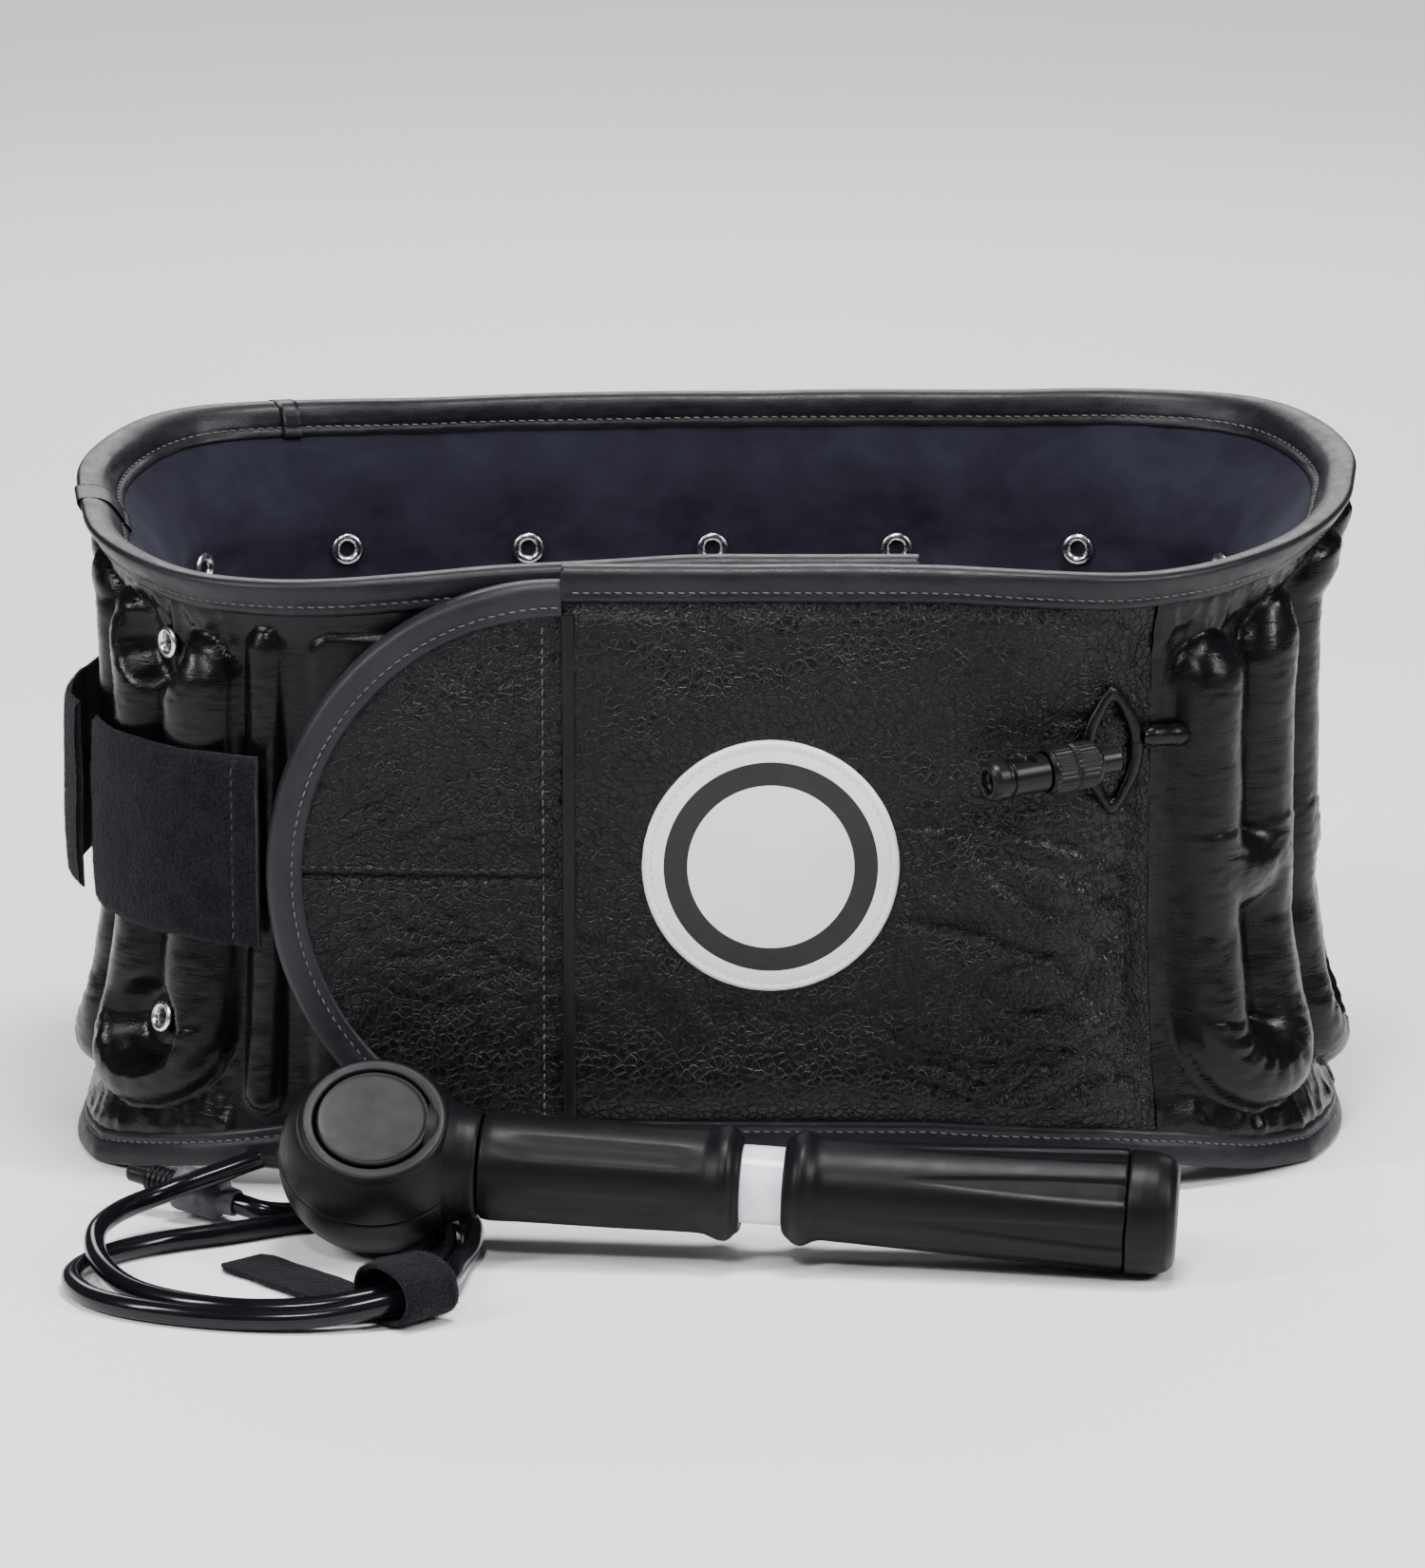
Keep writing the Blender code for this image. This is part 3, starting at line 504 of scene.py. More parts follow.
def leather_pebble(name, dark, light, rough=0.40, cell=450.0, depth=0.00027, strength=0.85, coat=0.0):
    """Tumbled leather: raised pebbles between fine crease lines."""
    mat, b = principled(name, dark, rough)
    k = Nodes(mat)
    w = k.warp(0.0035, 95)
    w2 = k.warp(0.0007, 420, w)
    big = k.voronoi(cell, vector=w2)
    small = k.voronoi(cell * 2.35, vector=w2)
    pebble = k.remap(big, 0.0, 0.16, 0.0, 1.0, True)
    little = k.remap(small, 0.0, 0.20, 0.0, 1.0, True)
    patchy = k.remap(k.noise(26, 2.0, 0.5), 0.30, 0.55, 0.55, 1.0)
    height = k.math("ADD", k.math("MULTIPLY", pebble, 1.0), k.math("MULTIPLY", little, 0.26))
    height = k.math("MULTIPLY", height, patchy)
    pores = k.noise(2600, 2.0, 0.5)
    folds = k.noise(46, 4.0, 0.55, None, 1.2)
    n1 = k.bump(height, strength, depth)
    n2 = k.bump(pores, 0.22, 0.00006, n1)
    n3 = k.bump(folds, 0.5, 0.0015, n2)
    k.link(n3, b.inputs["Normal"])
    # Base colour follows the pebble height: painted shade darkens the crease lines between pebbles, and the raised
    # pebble tops are lighter.
    k.link(k.mix(pebble, dark, light), b.inputs["Base Color"])
    k.link(k.remap(k.math("MULTIPLY", pebble, patchy), 0.0, 1.0, rough + 0.16, rough - 0.03), b.inputs["Roughness"])
    b.inputs["Coat Weight"].default_value = coat
    b.inputs["Coat Roughness"].default_value = 0.32
    b.inputs["Specular IOR Level"].default_value = 0.22
    return mat


def suede(name, dark, light):
    mat, b = principled(name, dark, 0.92)
    k = Nodes(mat)
    nap = k.noise(22, 4.0, 0.62, k.mapped((1, 1, 1.6)), 0.8)
    cloud = k.noise(75, 4.0, 0.6, None, 0.4)
    fine = k.noise(2300, 2.0, 0.6)
    k.link(k.mix(k.remap(k.math("ADD", k.math("MULTIPLY", nap, 0.6), k.math("MULTIPLY", cloud, 0.4)), 0.36, 0.64), dark, light), b.inputs["Base Color"])
    n1 = k.bump(fine, 0.45, 0.00014)
    n2 = k.bump(cloud, 0.35, 0.0009, n1)
    k.link(n2, b.inputs["Normal"])
    b.inputs["Sheen Weight"].default_value = 0.07
    b.inputs["Sheen Roughness"].default_value = 0.5
    b.inputs["Sheen Tint"].default_value = (0.62, 0.64, 0.80, 1)
    b.inputs["Specular IOR Level"].default_value = 0.10
    return mat


def pile(name, dark, light, scale=900.0, sheen=0.06):
    mat, b = principled(name, dark, 0.95)
    k = Nodes(mat)
    tuft = k.voronoi(scale, "F1")
    cloud = k.noise(130, 4.0, 0.65)
    mix = k.math("ADD", k.math("MULTIPLY", tuft, 0.7), k.math("MULTIPLY", cloud, 0.9))
    k.link(k.mix(k.remap(mix, 0.45, 1.05), dark, light), b.inputs["Base Color"])
    n1 = k.bump(tuft, 0.8, 0.00030)
    n2 = k.bump(k.noise(320, 4.0, 0.7), 0.6, 0.00022, n1)
    k.link(n2, b.inputs["Normal"])
    b.inputs["Sheen Weight"].default_value = sheen
    b.inputs["Sheen Roughness"].default_value = 0.45
    b.inputs["Specular IOR Level"].default_value = 0.08
    return mat


def moulded(name, dark, light, rough=0.36, grain=0.25, coat=0.0, scale=1500.0):
    mat, b = principled(name, dark, rough)
    k = Nodes(mat)
    g = k.noise(scale, 3.0, 0.6)
    smear = k.noise(34, 4.0, 0.6, None, 0.8)
    k.link(k.bump(g, grain, 0.00004), b.inputs["Normal"])
    k.link(k.mix(k.remap(smear, 0.35, 0.68), dark, light), b.inputs["Base Color"])
    k.link(k.remap(k.noise(120, 5.0, 0.65), 0.3, 0.7, rough - 0.04, rough + 0.07), b.inputs["Roughness"])
    b.inputs["Coat Weight"].default_value = coat
    b.inputs["Coat Roughness"].default_value = 0.2
    b.inputs["Specular IOR Level"].default_value = 0.17
    return mat


M_SKIN = leather_smooth("skin_leather_look", (0.0022, 0.0022, 0.0030), (0.0042, 0.0042, 0.0055), 0.25)
M_PANEL = leather_pebble("panel_leather_look", (0.0016, 0.0016, 0.0022), (0.0042, 0.0042, 0.0054), 0.28)
M_BIND = leather_smooth("binding_leather_look", (0.0095, 0.0095, 0.0130), (0.0170, 0.0170, 0.0215), 0.44, 0.25, 0.5, spec=0.26)
M_EDGE = leather_smooth("edge_leather_look", (0.0048, 0.0048, 0.0072), (0.0098, 0.0098, 0.0132), 0.40, 0.25, 0.5, spec=0.26)
M_PIPE = leather_smooth("piping_leather_look", (0.0040, 0.0040, 0.0055), (0.0080, 0.0080, 0.0100), 0.40, 0.25, 0.4)
M_SUEDE = suede("lining_suede_look", (0.0068, 0.0064, 0.0125), (0.0165, 0.0158, 0.0270))
M_STRAP = pile("strap_pile_look", (0.0025, 0.0025, 0.0036), (0.0100, 0.0102, 0.0140))
M_FIBRE = pile("strap_fibre_look", (0.0085, 0.0086, 0.0115), (0.0300, 0.0305, 0.0380), 1500.0, 0.14)
M_HOOK = pile("hook_tape_look", (0.010, 0.010, 0.012), (0.024, 0.024, 0.028), 1300.0, 0.1)
M_THREAD = moulded("thread_look", (0.060, 0.060, 0.068), (0.105, 0.105, 0.118), 0.55, 0.6, 0.0, 2600.0)
M_THREAD_DARK = moulded("thread_dark_look", (0.030, 0.030, 0.034), (0.055, 0.055, 0.062), 0.55, 0.6, 0.0, 2600.0)
M_PUMP = moulded("pump_plastic_look", (0.0022, 0.0022, 0.0032), (0.0040, 0.0040, 0.0054), 0.40, 0.20)
M_VALVE = moulded("valve_plastic_look", (0.0045, 0.0045, 0.0055), (0.009, 0.009, 0.0105), 0.30, 0.25, 0.0)
M_PLUG = moulded("connector_plastic_look", (0.060, 0.060, 0.070), (0.085, 0.085, 0.098), 0.38, 0.25)
M_HOSE = moulded("hose_vinyl_look", (0.0035, 0.0035, 0.0055), (0.0055, 0.0055, 0.008), 0.12, 0.04, 0.2)

mat_eye, b_eye = principled("eyelet_metal_look", (0.66, 0.66, 0.68), 0.22, 1.0)
kk = Nodes(mat_eye)
kk.link(kk.remap(kk.noise(900, 4.0, 0.6), 0.3, 0.7, 0.14, 0.34), b_eye.inputs["Roughness"])
kk.link(kk.bump(kk.noise(600, 3.0, 0.5), 0.15, 0.0001), b_eye.inputs["Normal"])
kk.link(kk.mix(kk.remap(kk.noise(350, 4.0, 0.6), 0.35, 0.7), (0.50, 0.50, 0.53), (0.78, 0.78, 0.80)), b_eye.inputs["Base Color"])
M_EYE = mat_eye

mat_tube, b_tube = principled("tube_plastic_look", (0.80, 0.83, 0.89), 0.30)
kk = Nodes(mat_tube)
kk.link(kk.mix(kk.remap(kk.noise(60, 3.0, 0.5), 0.35, 0.7), (0.76, 0.79, 0.86), (0.86, 0.88, 0.93)), b_tube.inputs["Base Color"])
kk.link(kk.bump(kk.noise(1.0, 2.0, 0.5, kk.mapped((30, 900, 900))), 0.12, 0.00004), b_tube.inputs["Normal"])
b_tube.inputs["Subsurface Weight"].default_value = 0.35
b_tube.inputs["Subsurface Radius"].default_value = (0.004, 0.004, 0.005)
b_tube.inputs["Coat Weight"].default_value = 0.3
M_TUBE = mat_tube


def print_cloth(name, dark, light, rough):
    """Coated patch fabric: a fine plain weave under a printed face."""
    mat, b = principled(name, dark, rough)
    k = Nodes(mat)
    wx = k.n.new("ShaderNodeTexWave")
    wx.bands_direction = "X"
    wx.inputs["Scale"].default_value = 420
    wz = k.n.new("ShaderNodeTexWave")
    wz.bands_direction = "Z"
    wz.inputs["Scale"].default_value = 420
    k.link(k.coord, wx.inputs["Vector"])
    k.link(k.coord, wz.inputs["Vector"])
    weave = k.math("MULTIPLY", wx.outputs["Fac"], wz.outputs["Fac"])
    k.link(k.bump(weave, 0.22, 0.00008, k.bump(k.noise(60, 3.0, 0.5), 0.15, 0.0006)), b.inputs["Normal"])
    k.link(k.mix(k.remap(k.noise(40, 4.0, 0.6), 0.35, 0.7), dark, light), b.inputs["Base Color"])
    k.link(k.remap(k.noise(300, 3.0, 0.6), 0.3, 0.7, rough - 0.06, rough + 0.06), b.inputs["Roughness"])
    return mat


M_WHITE = print_cloth("patch_white_look", (0.80, 0.80, 0.825), (0.87, 0.87, 0.89), 0.50)
M_CHAR = print_cloth("patch_charcoal_look", (0.0050, 0.0050, 0.0064), (0.0085, 0.0085, 0.0105), 0.6)
M_WTHREAD = moulded("white_thread_look", (0.62, 0.62, 0.65), (0.74, 0.74, 0.77), 0.6, 0.5, 0.0, 2600.0)

# ================================================================ hose, first
HEAD = np.array([-85.5, -127.0, 24.95])
HEAD_R = 24.6
PUMP_END = np.array([106.0, -146.0, 16.1])
P_DIR = (PUMP_END - HEAD) / np.linalg.norm(PUMP_END - HEAD)
BUTTON_N = np.array([0.0, -math.cos(math.radians(51)), math.sin(math.radians(51))])
BARB = np.array([-0.80, 0.58, -0.16])
BARB /= np.linalg.norm(BARB)
ROUTE = [
    HEAD + BARB * 29.4, HEAD + BARB * 35.0,
    (-127, -107.5, 15.0), (-140, -111, 11.0), (-151, -122, 9.2), (-155.6, -140, 8.8), (-153, -157, 6.4), (-143.5, -172.5, 4.0), (-121, -186.0, 3.4), (-100, -189.0, 4.2),
    (-84, -186.5, 6.0), (-75, -178.5, 6.3), (-71.5, -166, 5.0), (-69.5, -148, 3.4), (-67.5, -130, 3.0), (-71, -112, 3.0), (-86, -103.4, 3.0), (-104, -109.5, 3.0),
    (-125, -121, 3.0), (-140, -128.5, 3.0), (-153.5, -140.5, 3.0), (-160.2, -157, 3.0), (-155.5, -173, 3.0), (-145, -183.5, 3.0), (-121, -193.2, 3.0), (-98, -195.6, 3.8),
    (-81, -192.0, 6.0), (-70.5, -182, 6.3), (-65.5, -168, 5.0), (-63.3, -148, 3.2), (-61.0, -130, 3.0), (-63.5, -108, 3.0), (-79, -96.4, 3.0), (-97, -99.4, 3.0), (-107, -104.6, 3.6), (-115.2, -107.4, 4.8), (-122.0, -104.0, 5.9),
]
PLUG_D = np.array([-0.88, 0.44, 0.13])
PLUG_D /= np.linalg.norm(PLUG_D)


def smooth_path(points, spacing):
    """Points each spacing mm along a centripetal Catmull-Rom curve."""
    pts = [np.asarray(p, float) for p in points]
    pts = [2 * pts[0] - pts[1], *pts, 2 * pts[-1] - pts[-2]]
    dense = []
    for k in range(1, len(pts) - 2):
        p0, p1, p2, p3 = pts[k - 1 : k + 3]
        t0 = 0.0
        t1 = t0 + math.sqrt(np.linalg.norm(p1 - p0))
        t2 = t1 + math.sqrt(np.linalg.norm(p2 - p1))
        t3 = t2 + math.sqrt(np.linalg.norm(p3 - p2))
        for i in range(24):
            t = t1 + (t2 - t1) * i / 24
            a1 = (t1 - t) / (t1 - t0) * p0 + (t - t0) / (t1 - t0) * p1
            a2 = (t2 - t) / (t2 - t1) * p1 + (t - t1) / (t2 - t1) * p2
            a3 = (t3 - t) / (t3 - t2) * p2 + (t - t2) / (t3 - t2) * p3
            b1 = (t2 - t) / (t2 - t0) * a1 + (t - t0) / (t2 - t0) * a2
            b2 = (t3 - t) / (t3 - t1) * a2 + (t - t1) / (t3 - t1) * a3
            dense.append((t2 - t) / (t2 - t1) * b1 + (t - t1) / (t2 - t1) * b2)
    dense.append(pts[-2])
    dense = np.array(dense)
    run = np.concatenate([[0], np.cumsum(np.linalg.norm(np.diff(dense, axis=0), axis=1))])
    at = np.linspace(0, run[-1], max(2, round(run[-1] / spacing)) + 1)
    return np.stack([np.interp(at, run, dense[:, k]) for k in range(3)], axis=1), run[-1]


hose_pts, HOSE_LENGTH = smooth_path(ROUTE, 3.0)
hose_curve = bpy.data.curves.new("hose_line", "CURVE")
hose_curve.dimensions = "3D"
hose_curve.bevel_depth = 0.00275
hose_curve.bevel_resolution = 5
hose_curve.use_fill_caps = True
sp = hose_curve.splines.new("POLY")
sp.points.add(len(hose_pts) - 1)
for pt, co in zip(sp.points, hose_pts):
    pt.co = (*((co + SHIFT) * MM), 1)
sp.use_smooth = True
hose_obj = bpy.data.objects.new("hose_line", hose_curve)
bpy.context.scene.collection.objects.link(hose_obj)
hose_curve.materials.append(M_HOSE)
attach(hose_obj, "pump")
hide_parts("hose")

# the plug: grey body, ribbed black nose, flats for the fingers
plug0 = np.array(ROUTE[-1]) + PLUG_D * 0.4


def plug_shape(a, th):
    flats = np.where((a > 6.5) & (a < 15.5), -0.42 * np.clip(np.cos(6 * th), 0, 1) ** 0.6, 0)
    return flats


plug_body = turned("plug_body", plug0, PLUG_D, fillet([(0, 2.9), (0, 3.5), (4.2, 3.9), (4.9, 5.7), (6.2, 5.9), (15.8, 5.9), (17.2, 5.7), (18.0, 4.0), (18.4, 3.7), (18.4, 0)], 0.5), 48, M_PLUG, "pump", plug_shape)
ribs = [(18.0, 2.0), (18.0, 3.7)]
for k in range(5):
    a0 = 18.6 + k * 1.5
    ribs += [(a0, 3.75), (a0 + 0.75, 3.75), (a0 + 0.95, 3.15), (a0 + 1.35, 3.15)]
ribs += [(26.2, 3.5), (26.6, 2.4), (31.8, 2.25), (32.6, 1.7), (32.6, 0.9), (27.5, 0.9), (27.5, 0)]
plug_nose = turned("plug_nose", plug0, PLUG_D, fillet(ribs, 0.16, 2), 40, M_VALVE, "pump")
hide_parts("hose_plug")

# the tie: a fuzzy loop strap wound once round the hose
T0 = np.array([-77.6, -184.7, 0.0])
T_U = np.array([0.74, 0.67, 0.0])
T_W = np.array([-0.67, 0.74, 0.0])
T_PATH = [(62.0, 1.25), (48.0, 1.2), (34.0, 1.3), (22.0, 1.2), (10.0, 1.25), (-2.0, 1.3), (-8.4, 2.2), (-11.2, 5.0), (-11.4, 8.4), (-9.4, 11.8), (-4.6, 13.9), (1.5, 14.2), (7.2, 12.9), (10.6, 9.8), (11.4, 6.4), (10.0, 3.6)]
tie_line, _ = smooth_path([T0 + T_W * w + np.array([0, 0, z]) for w, z in T_PATH], 0.8)
tan = np.gradient(tie_line, axis=0)
tan /= np.linalg.norm(tan, axis=1)[:, None]
nrm = np.cross(np.broadcast_to(T_U, tan.shape), tan)
nrm /= np.linalg.norm(nrm, axis=1)[:, None]
k_run = np.arange(len(tie_line)) * 0.8
HW = 8.4
us = np.linspace(-1, 1, 15)
skew = np.interp(k_run, [0, 58, 75, 105], [0.0, 0.0, 1.6, 3.6])
rows_out, rows_in = [], []
for k in range(len(tie_line)):
    c = tie_line[k] + T_U * skew[k]
    hw = HW * (0.96 + 0.05 * float(noise(k * 0.09, 3.3, 5)))
    if k < 4:
        hw *= 0.80 + 0.05 * k
    up = 0.55 + 0.22 * noise(us * 2.2, k * 0.11, 21) - 0.25 * us**4
    rows_out.append([c + T_U * u * hw + nrm[k] * h for u, h in zip(us, up)])
    rows_in.append([c + T_U * u * hw - nrm[k] * 0.5 for u in us])
TO, TI = np.array(rows_out), np.array(rows_in)
TO[..., 2] = np.maximum(TO[..., 2], 0.35)
TI[..., 2] = np.maximum(TI[..., 2], 0.15)
ring = np.concatenate([TO, TI[:, ::-1]], axis=1)
faces = quads(*ring.shape[:2], False, True).tolist()
n_c = ring.shape[1]
faces.append(list(range(n_c))[::-1])
faces.append([(ring.shape[0] - 1) * n_c + j for j in range(n_c)])
tie = make("hose_tie_strap", (ring.reshape(-1, 3) + SHIFT) * MM, faces, M_STRAP, "pump")
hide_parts("hose_tie")
tN = grid_normals(TO, 1)
if (tN * nrm[:, None]).sum() < 0:
    tN = -tN
tie_fuzz = fibres("hose_tie_pile", (TO + SHIFT) * MM, tN, 9000, M_FIBRE, "pump", (0.5, 1.2), 0.075, 11)

# ================================================================ outer leather skin with its inflated columns
EYES = [k * 2 * PITCH for k in range(-5, 5)]


def cell_low(s):
    return low_z(s) + 16.0


def cell_top(s):
    return top_z(s) - np.interp(np.abs(s), [0, 217.6, 230, 256, 300], [12, 12, 14, 20.5, 20.5])


def tube_profile(d, half=12.0):
    t = np.clip(1 - (d / half) ** 2, 0, 1)
    return t**0.56


def cell_relief(s, z):
    """0..1 height of the inflated skin, and how close a point is to a column's middle."""
    pair = np.floor(s / (2 * PITCH) + 0.5)
    u = s - pair * 2 * PITCH
    low, top = cell_low(s), cell_top(s)
    c = PITCH / 2
    a = np.abs(u)
    # the two columns wander a little and swell and neck along their height
    wander = 0.7 * noise(z / 34.0, pair * 3.1 + np.sign(u) * 1.7, 2)
    width = 1.0 + 0.055 * noise(z / 19.0, pair * 5.3 + np.sign(u) * 2.3, 3)
    a = a + wander * np.where(u > 0, 1, -1) * 0.8
    zc = low + 25.0
    zt = top - 9.0 - 2.5 * ((pair * 7) % 3 - 1)
    straight = np.hypot(a - c, np.maximum(0.0, z - zt) * 0.9)
    bend = np.abs(np.hypot(a, z - zc) - c)
    d = np.where(z > zc, straight, bend)
    h1 = tube_profile(d / width)
    zm = 94.0 - 2.0 * ((pair * 5) % 3 - 1)
    dm = np.where(z < zm, np.abs(np.hypot(a, z - zm) - c), 99.0)
    h2 = tube_profile(dm, 11.6) * 1.03
    h = smax(h1, h2, 0.10)
    h = np.maximum(h - 0.025, 0)
    # crowns swell at the bends
    swell = 1.0 + 0.10 * np.exp(-(((z - low - 12.0) / 11.0) ** 2)) + 0.07 * np.exp(-(((z - zt) / 12.0) ** 2)) + 0.05 * np.exp(-(((z - 82.0) / 10.0) ** 2))
    h = h * swell
    eye = np.zeros_like(h)
    for row in (ROW_HI, ROW_LO):
        dist = np.hypot(u, z - row)
        flat = np.where((pair >= -5) & (pair <= 4), step(13.5, 7.2, dist), 0)
        eye = np.maximum(eye, flat)
    return h * (1 - eye), np.minimum(d, dm), eye, u, pair


def skin_offset(s, z):
    h, d, eye, u, pair = cell_relief(s, z)
    base = 2.35
    lo, hi = cell_low(s), cell_top(s)
    inside = step(lo - 6.5, lo + 1.0, z) * step(hi + 6.0, hi - 1.0, z)
    ends = step(-300.5, -293.0, s) * step(283.0, 276.0, s)
    h = h * ends
    off = base + (CELL_H - 0.35) * h
    on_tube = step(0.02, 0.35, h)
    # creases that run across each column, deepest on the inner side of a bend
    cre = ridge(s / 11.0 + pair * 3.7, z / 3.1 + 0.35 * noise(s / 9.0, z / 9.0, 4), 6) * 0.30
    cre += ridge(s / 6.0, z / 1.9, 8) * 0.12
    near_bend = np.exp(-(((z - lo - 13.0) / 15.0) ** 2)) + np.exp(-(((z - 84.0) / 13.0) ** 2)) + 0.8 * np.exp(-(((z - hi + 8) / 14.0) ** 2))
    off -= on_tube * cre * (0.32 + 0.8 * np.clip(near_bend, 0, 1.2))
    off += on_tube * (0.36 * fbm(s / 10.0, z / 13.0, 9) + 0.05 * noise(s / 5.4, z / 2.4, 12))
    # radial puckers round each bend's centre and each eyelet
    for zc in (lo + 25.0,):
        ang = np.arctan2(z - zc, u)
        rad = np.hypot(u, z - zc)
        puck = (0.5 + 0.5 * np.cos(ang * 17 + 3 * noise(rad / 5.0, pair, 31))) ** 2
        off -= step(2, 7, rad) * step(22, 13, rad) * (z < zc) * puck * 0.42 * ends
    for row in (ROW_HI, ROW_LO):
        ang = np.arctan2(z - row, u)
        rad = np.hypot(u, z - row)
        puck = 0.5 + 0.5 * np.cos(ang * 14 + 2.4 * noise(rad / 4.0, pair * 1.3, 33))
        live = np.where((pair >= -5) & (pair <= 4), 1.0, 0.0)
        off -= live * step(5.0, 8.0, rad) * step(15.5, 10.0, rad) * puck * 0.45
    # the webs between columns: hard fine wrinkles pulled tight across
    web = (1 - on_tube) * inside * ends
    off += web * (0.22 * noise(s / 2.2, z / 4.2, 14) + 0.20 * noise(s / 5.5, z / 2.6, 15))
    # gathered skirt below, and gathers under the upper edge
    skirt = step(lo + 3.0, lo - 5.0, z) * step(low_z(s) + 7.0, low_z(s) + 11.0, z)
    tops = step(hi - 3.0, hi + 3.0, z) * step(top_z(s) - 7.0, top_z(s) - 11.0, z)
    fold = fbm(s / 7.5 + 0.25 * z / 6.0, z / 15.0, 16) * 1.05 + ridge(s / 8.5, z / 19.0 + s / 40.0, 17) * 0.7
    off += skirt * (0.9 + fold * 0.9) + tops * (0.8 + (fbm(s / 5.2, z / 14.0, 18) * 0.9 + ridge(s / 6.5, z / 16.0, 19) * 0.8) * 0.9)
    # slack flat parts
    flatp = 1 - np.clip(inside * ends, 0, 1)
    off += flatp * (0.30 * fbm(s / 14.0, z / 17.0, 22) + 0.10 * noise(s / 3.0, z / 3.0, 23))
    return np.maximum(off, 1.78)


def tail_offset(s, z):
    """The front left: the narrow stay's column and the pressed pad of the under layer."""
    off = skin_offset(s, z)
    # tall slim column over the stay, with a rounded foot and head
    cs, hw = -287.6, 4.9
    zz = np.maximum(np.maximum(28.0 - z, z - 144.0), 0.0)
    d = np.hypot((s - cs), zz * 0.8) / hw
    rib = np.sqrt(np.clip(1 - d**2, 0, 1))
    wobble = 0.20 * noise(s / 4.0, z / 5.0, 41) - 0.22 * ridge(s / 9.0, z / 3.0, 42)
    off = np.where(s < -279.5, np.maximum(2.5 + 0.30 * fbm(s / 12.0, z / 15.0, 43) + 0.10 * noise(s / 2.6, z / 2.6, 44), 2.5 + (3.7 + wobble) * rib), off)
    # pad: a pressed rounded panel standing proud, its outline grooved
    px = np.maximum(-344.0 - s, s + 299.0)
    pz = np.maximum(24.0 - z, z - 149.5)
    sd = np.hypot(np.maximum(px + 6, 0), np.maximum(pz + 6, 0)) + np.minimum(np.maximum(px + 6, pz + 6), 0) - 6
    pad = step(1.6, -2.6, sd)
    off = off + pad * (1.25 + 0.35 * fbm(s / 13.0, z / 16.0, 45)) - 0.55 * np.exp(-((sd / 1.1) ** 2)) * (s < -292)
    return off


def zlines(s0, n, inset=1.95):
    """n heights between the edges for each s."""
    t = np.linspace(0, 1, n)
    lo, hi = low_z(s0) + inset, top_z(s0) - inset
    return lo[:, None] + (hi - lo)[:, None] * t[None, :]


def skin_piece(name, s0, s1, ds, nz, func, mat, body="belt"):
    s = np.linspace(s0, s1, int(round((s1 - s0) / ds)) + 1)
    Z = zlines(s, nz)
    S = s[:, None] + 0 * Z
    P = wall(S, Z, func(S, Z))
    return grid(name, P, mat, body, flip=True)


skin_left = skin_piece("skin_left", -352.0, -128.0, 1.05, 156, lambda s, z: np.where(s < -276, tail_offset(s, z), skin_offset(s, z)), M_SKIN)
skin_back = skin_piece("skin_back", -128.0, 128.0, 1.15, 156, skin_offset, M_SKIN)
skin_right = skin_piece("skin_right", 128.0, 286.4, 1.0, 160, skin_offset, M_SKIN)
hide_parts("outer_shell", "cells_left", "cells_back_left", "tail_stay", "tail_pad")
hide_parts("cells_back")
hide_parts("cells_right", "cells_back_right")
tail_flat = skin_piece("skin_tail", START, -352.0, 3.0, 60, lambda s, z: 2.3 + 0.25 * fbm(s / 14.0, z / 17.0, 22) * step(START, START + 20, s), M_SKIN)


# ================================================================ front panel
def blob(s_or_x, z, x0, z0, rx, rz, rot=0.0):
    c, n = math.cos(rot), math.sin(rot)
    a, b = (s_or_x - x0) * c + (z - z0) * n, -(s_or_x - x0) * n + (z - z0) * c
    return np.exp(-((a / rx) ** 2) - (b / rz) ** 2)


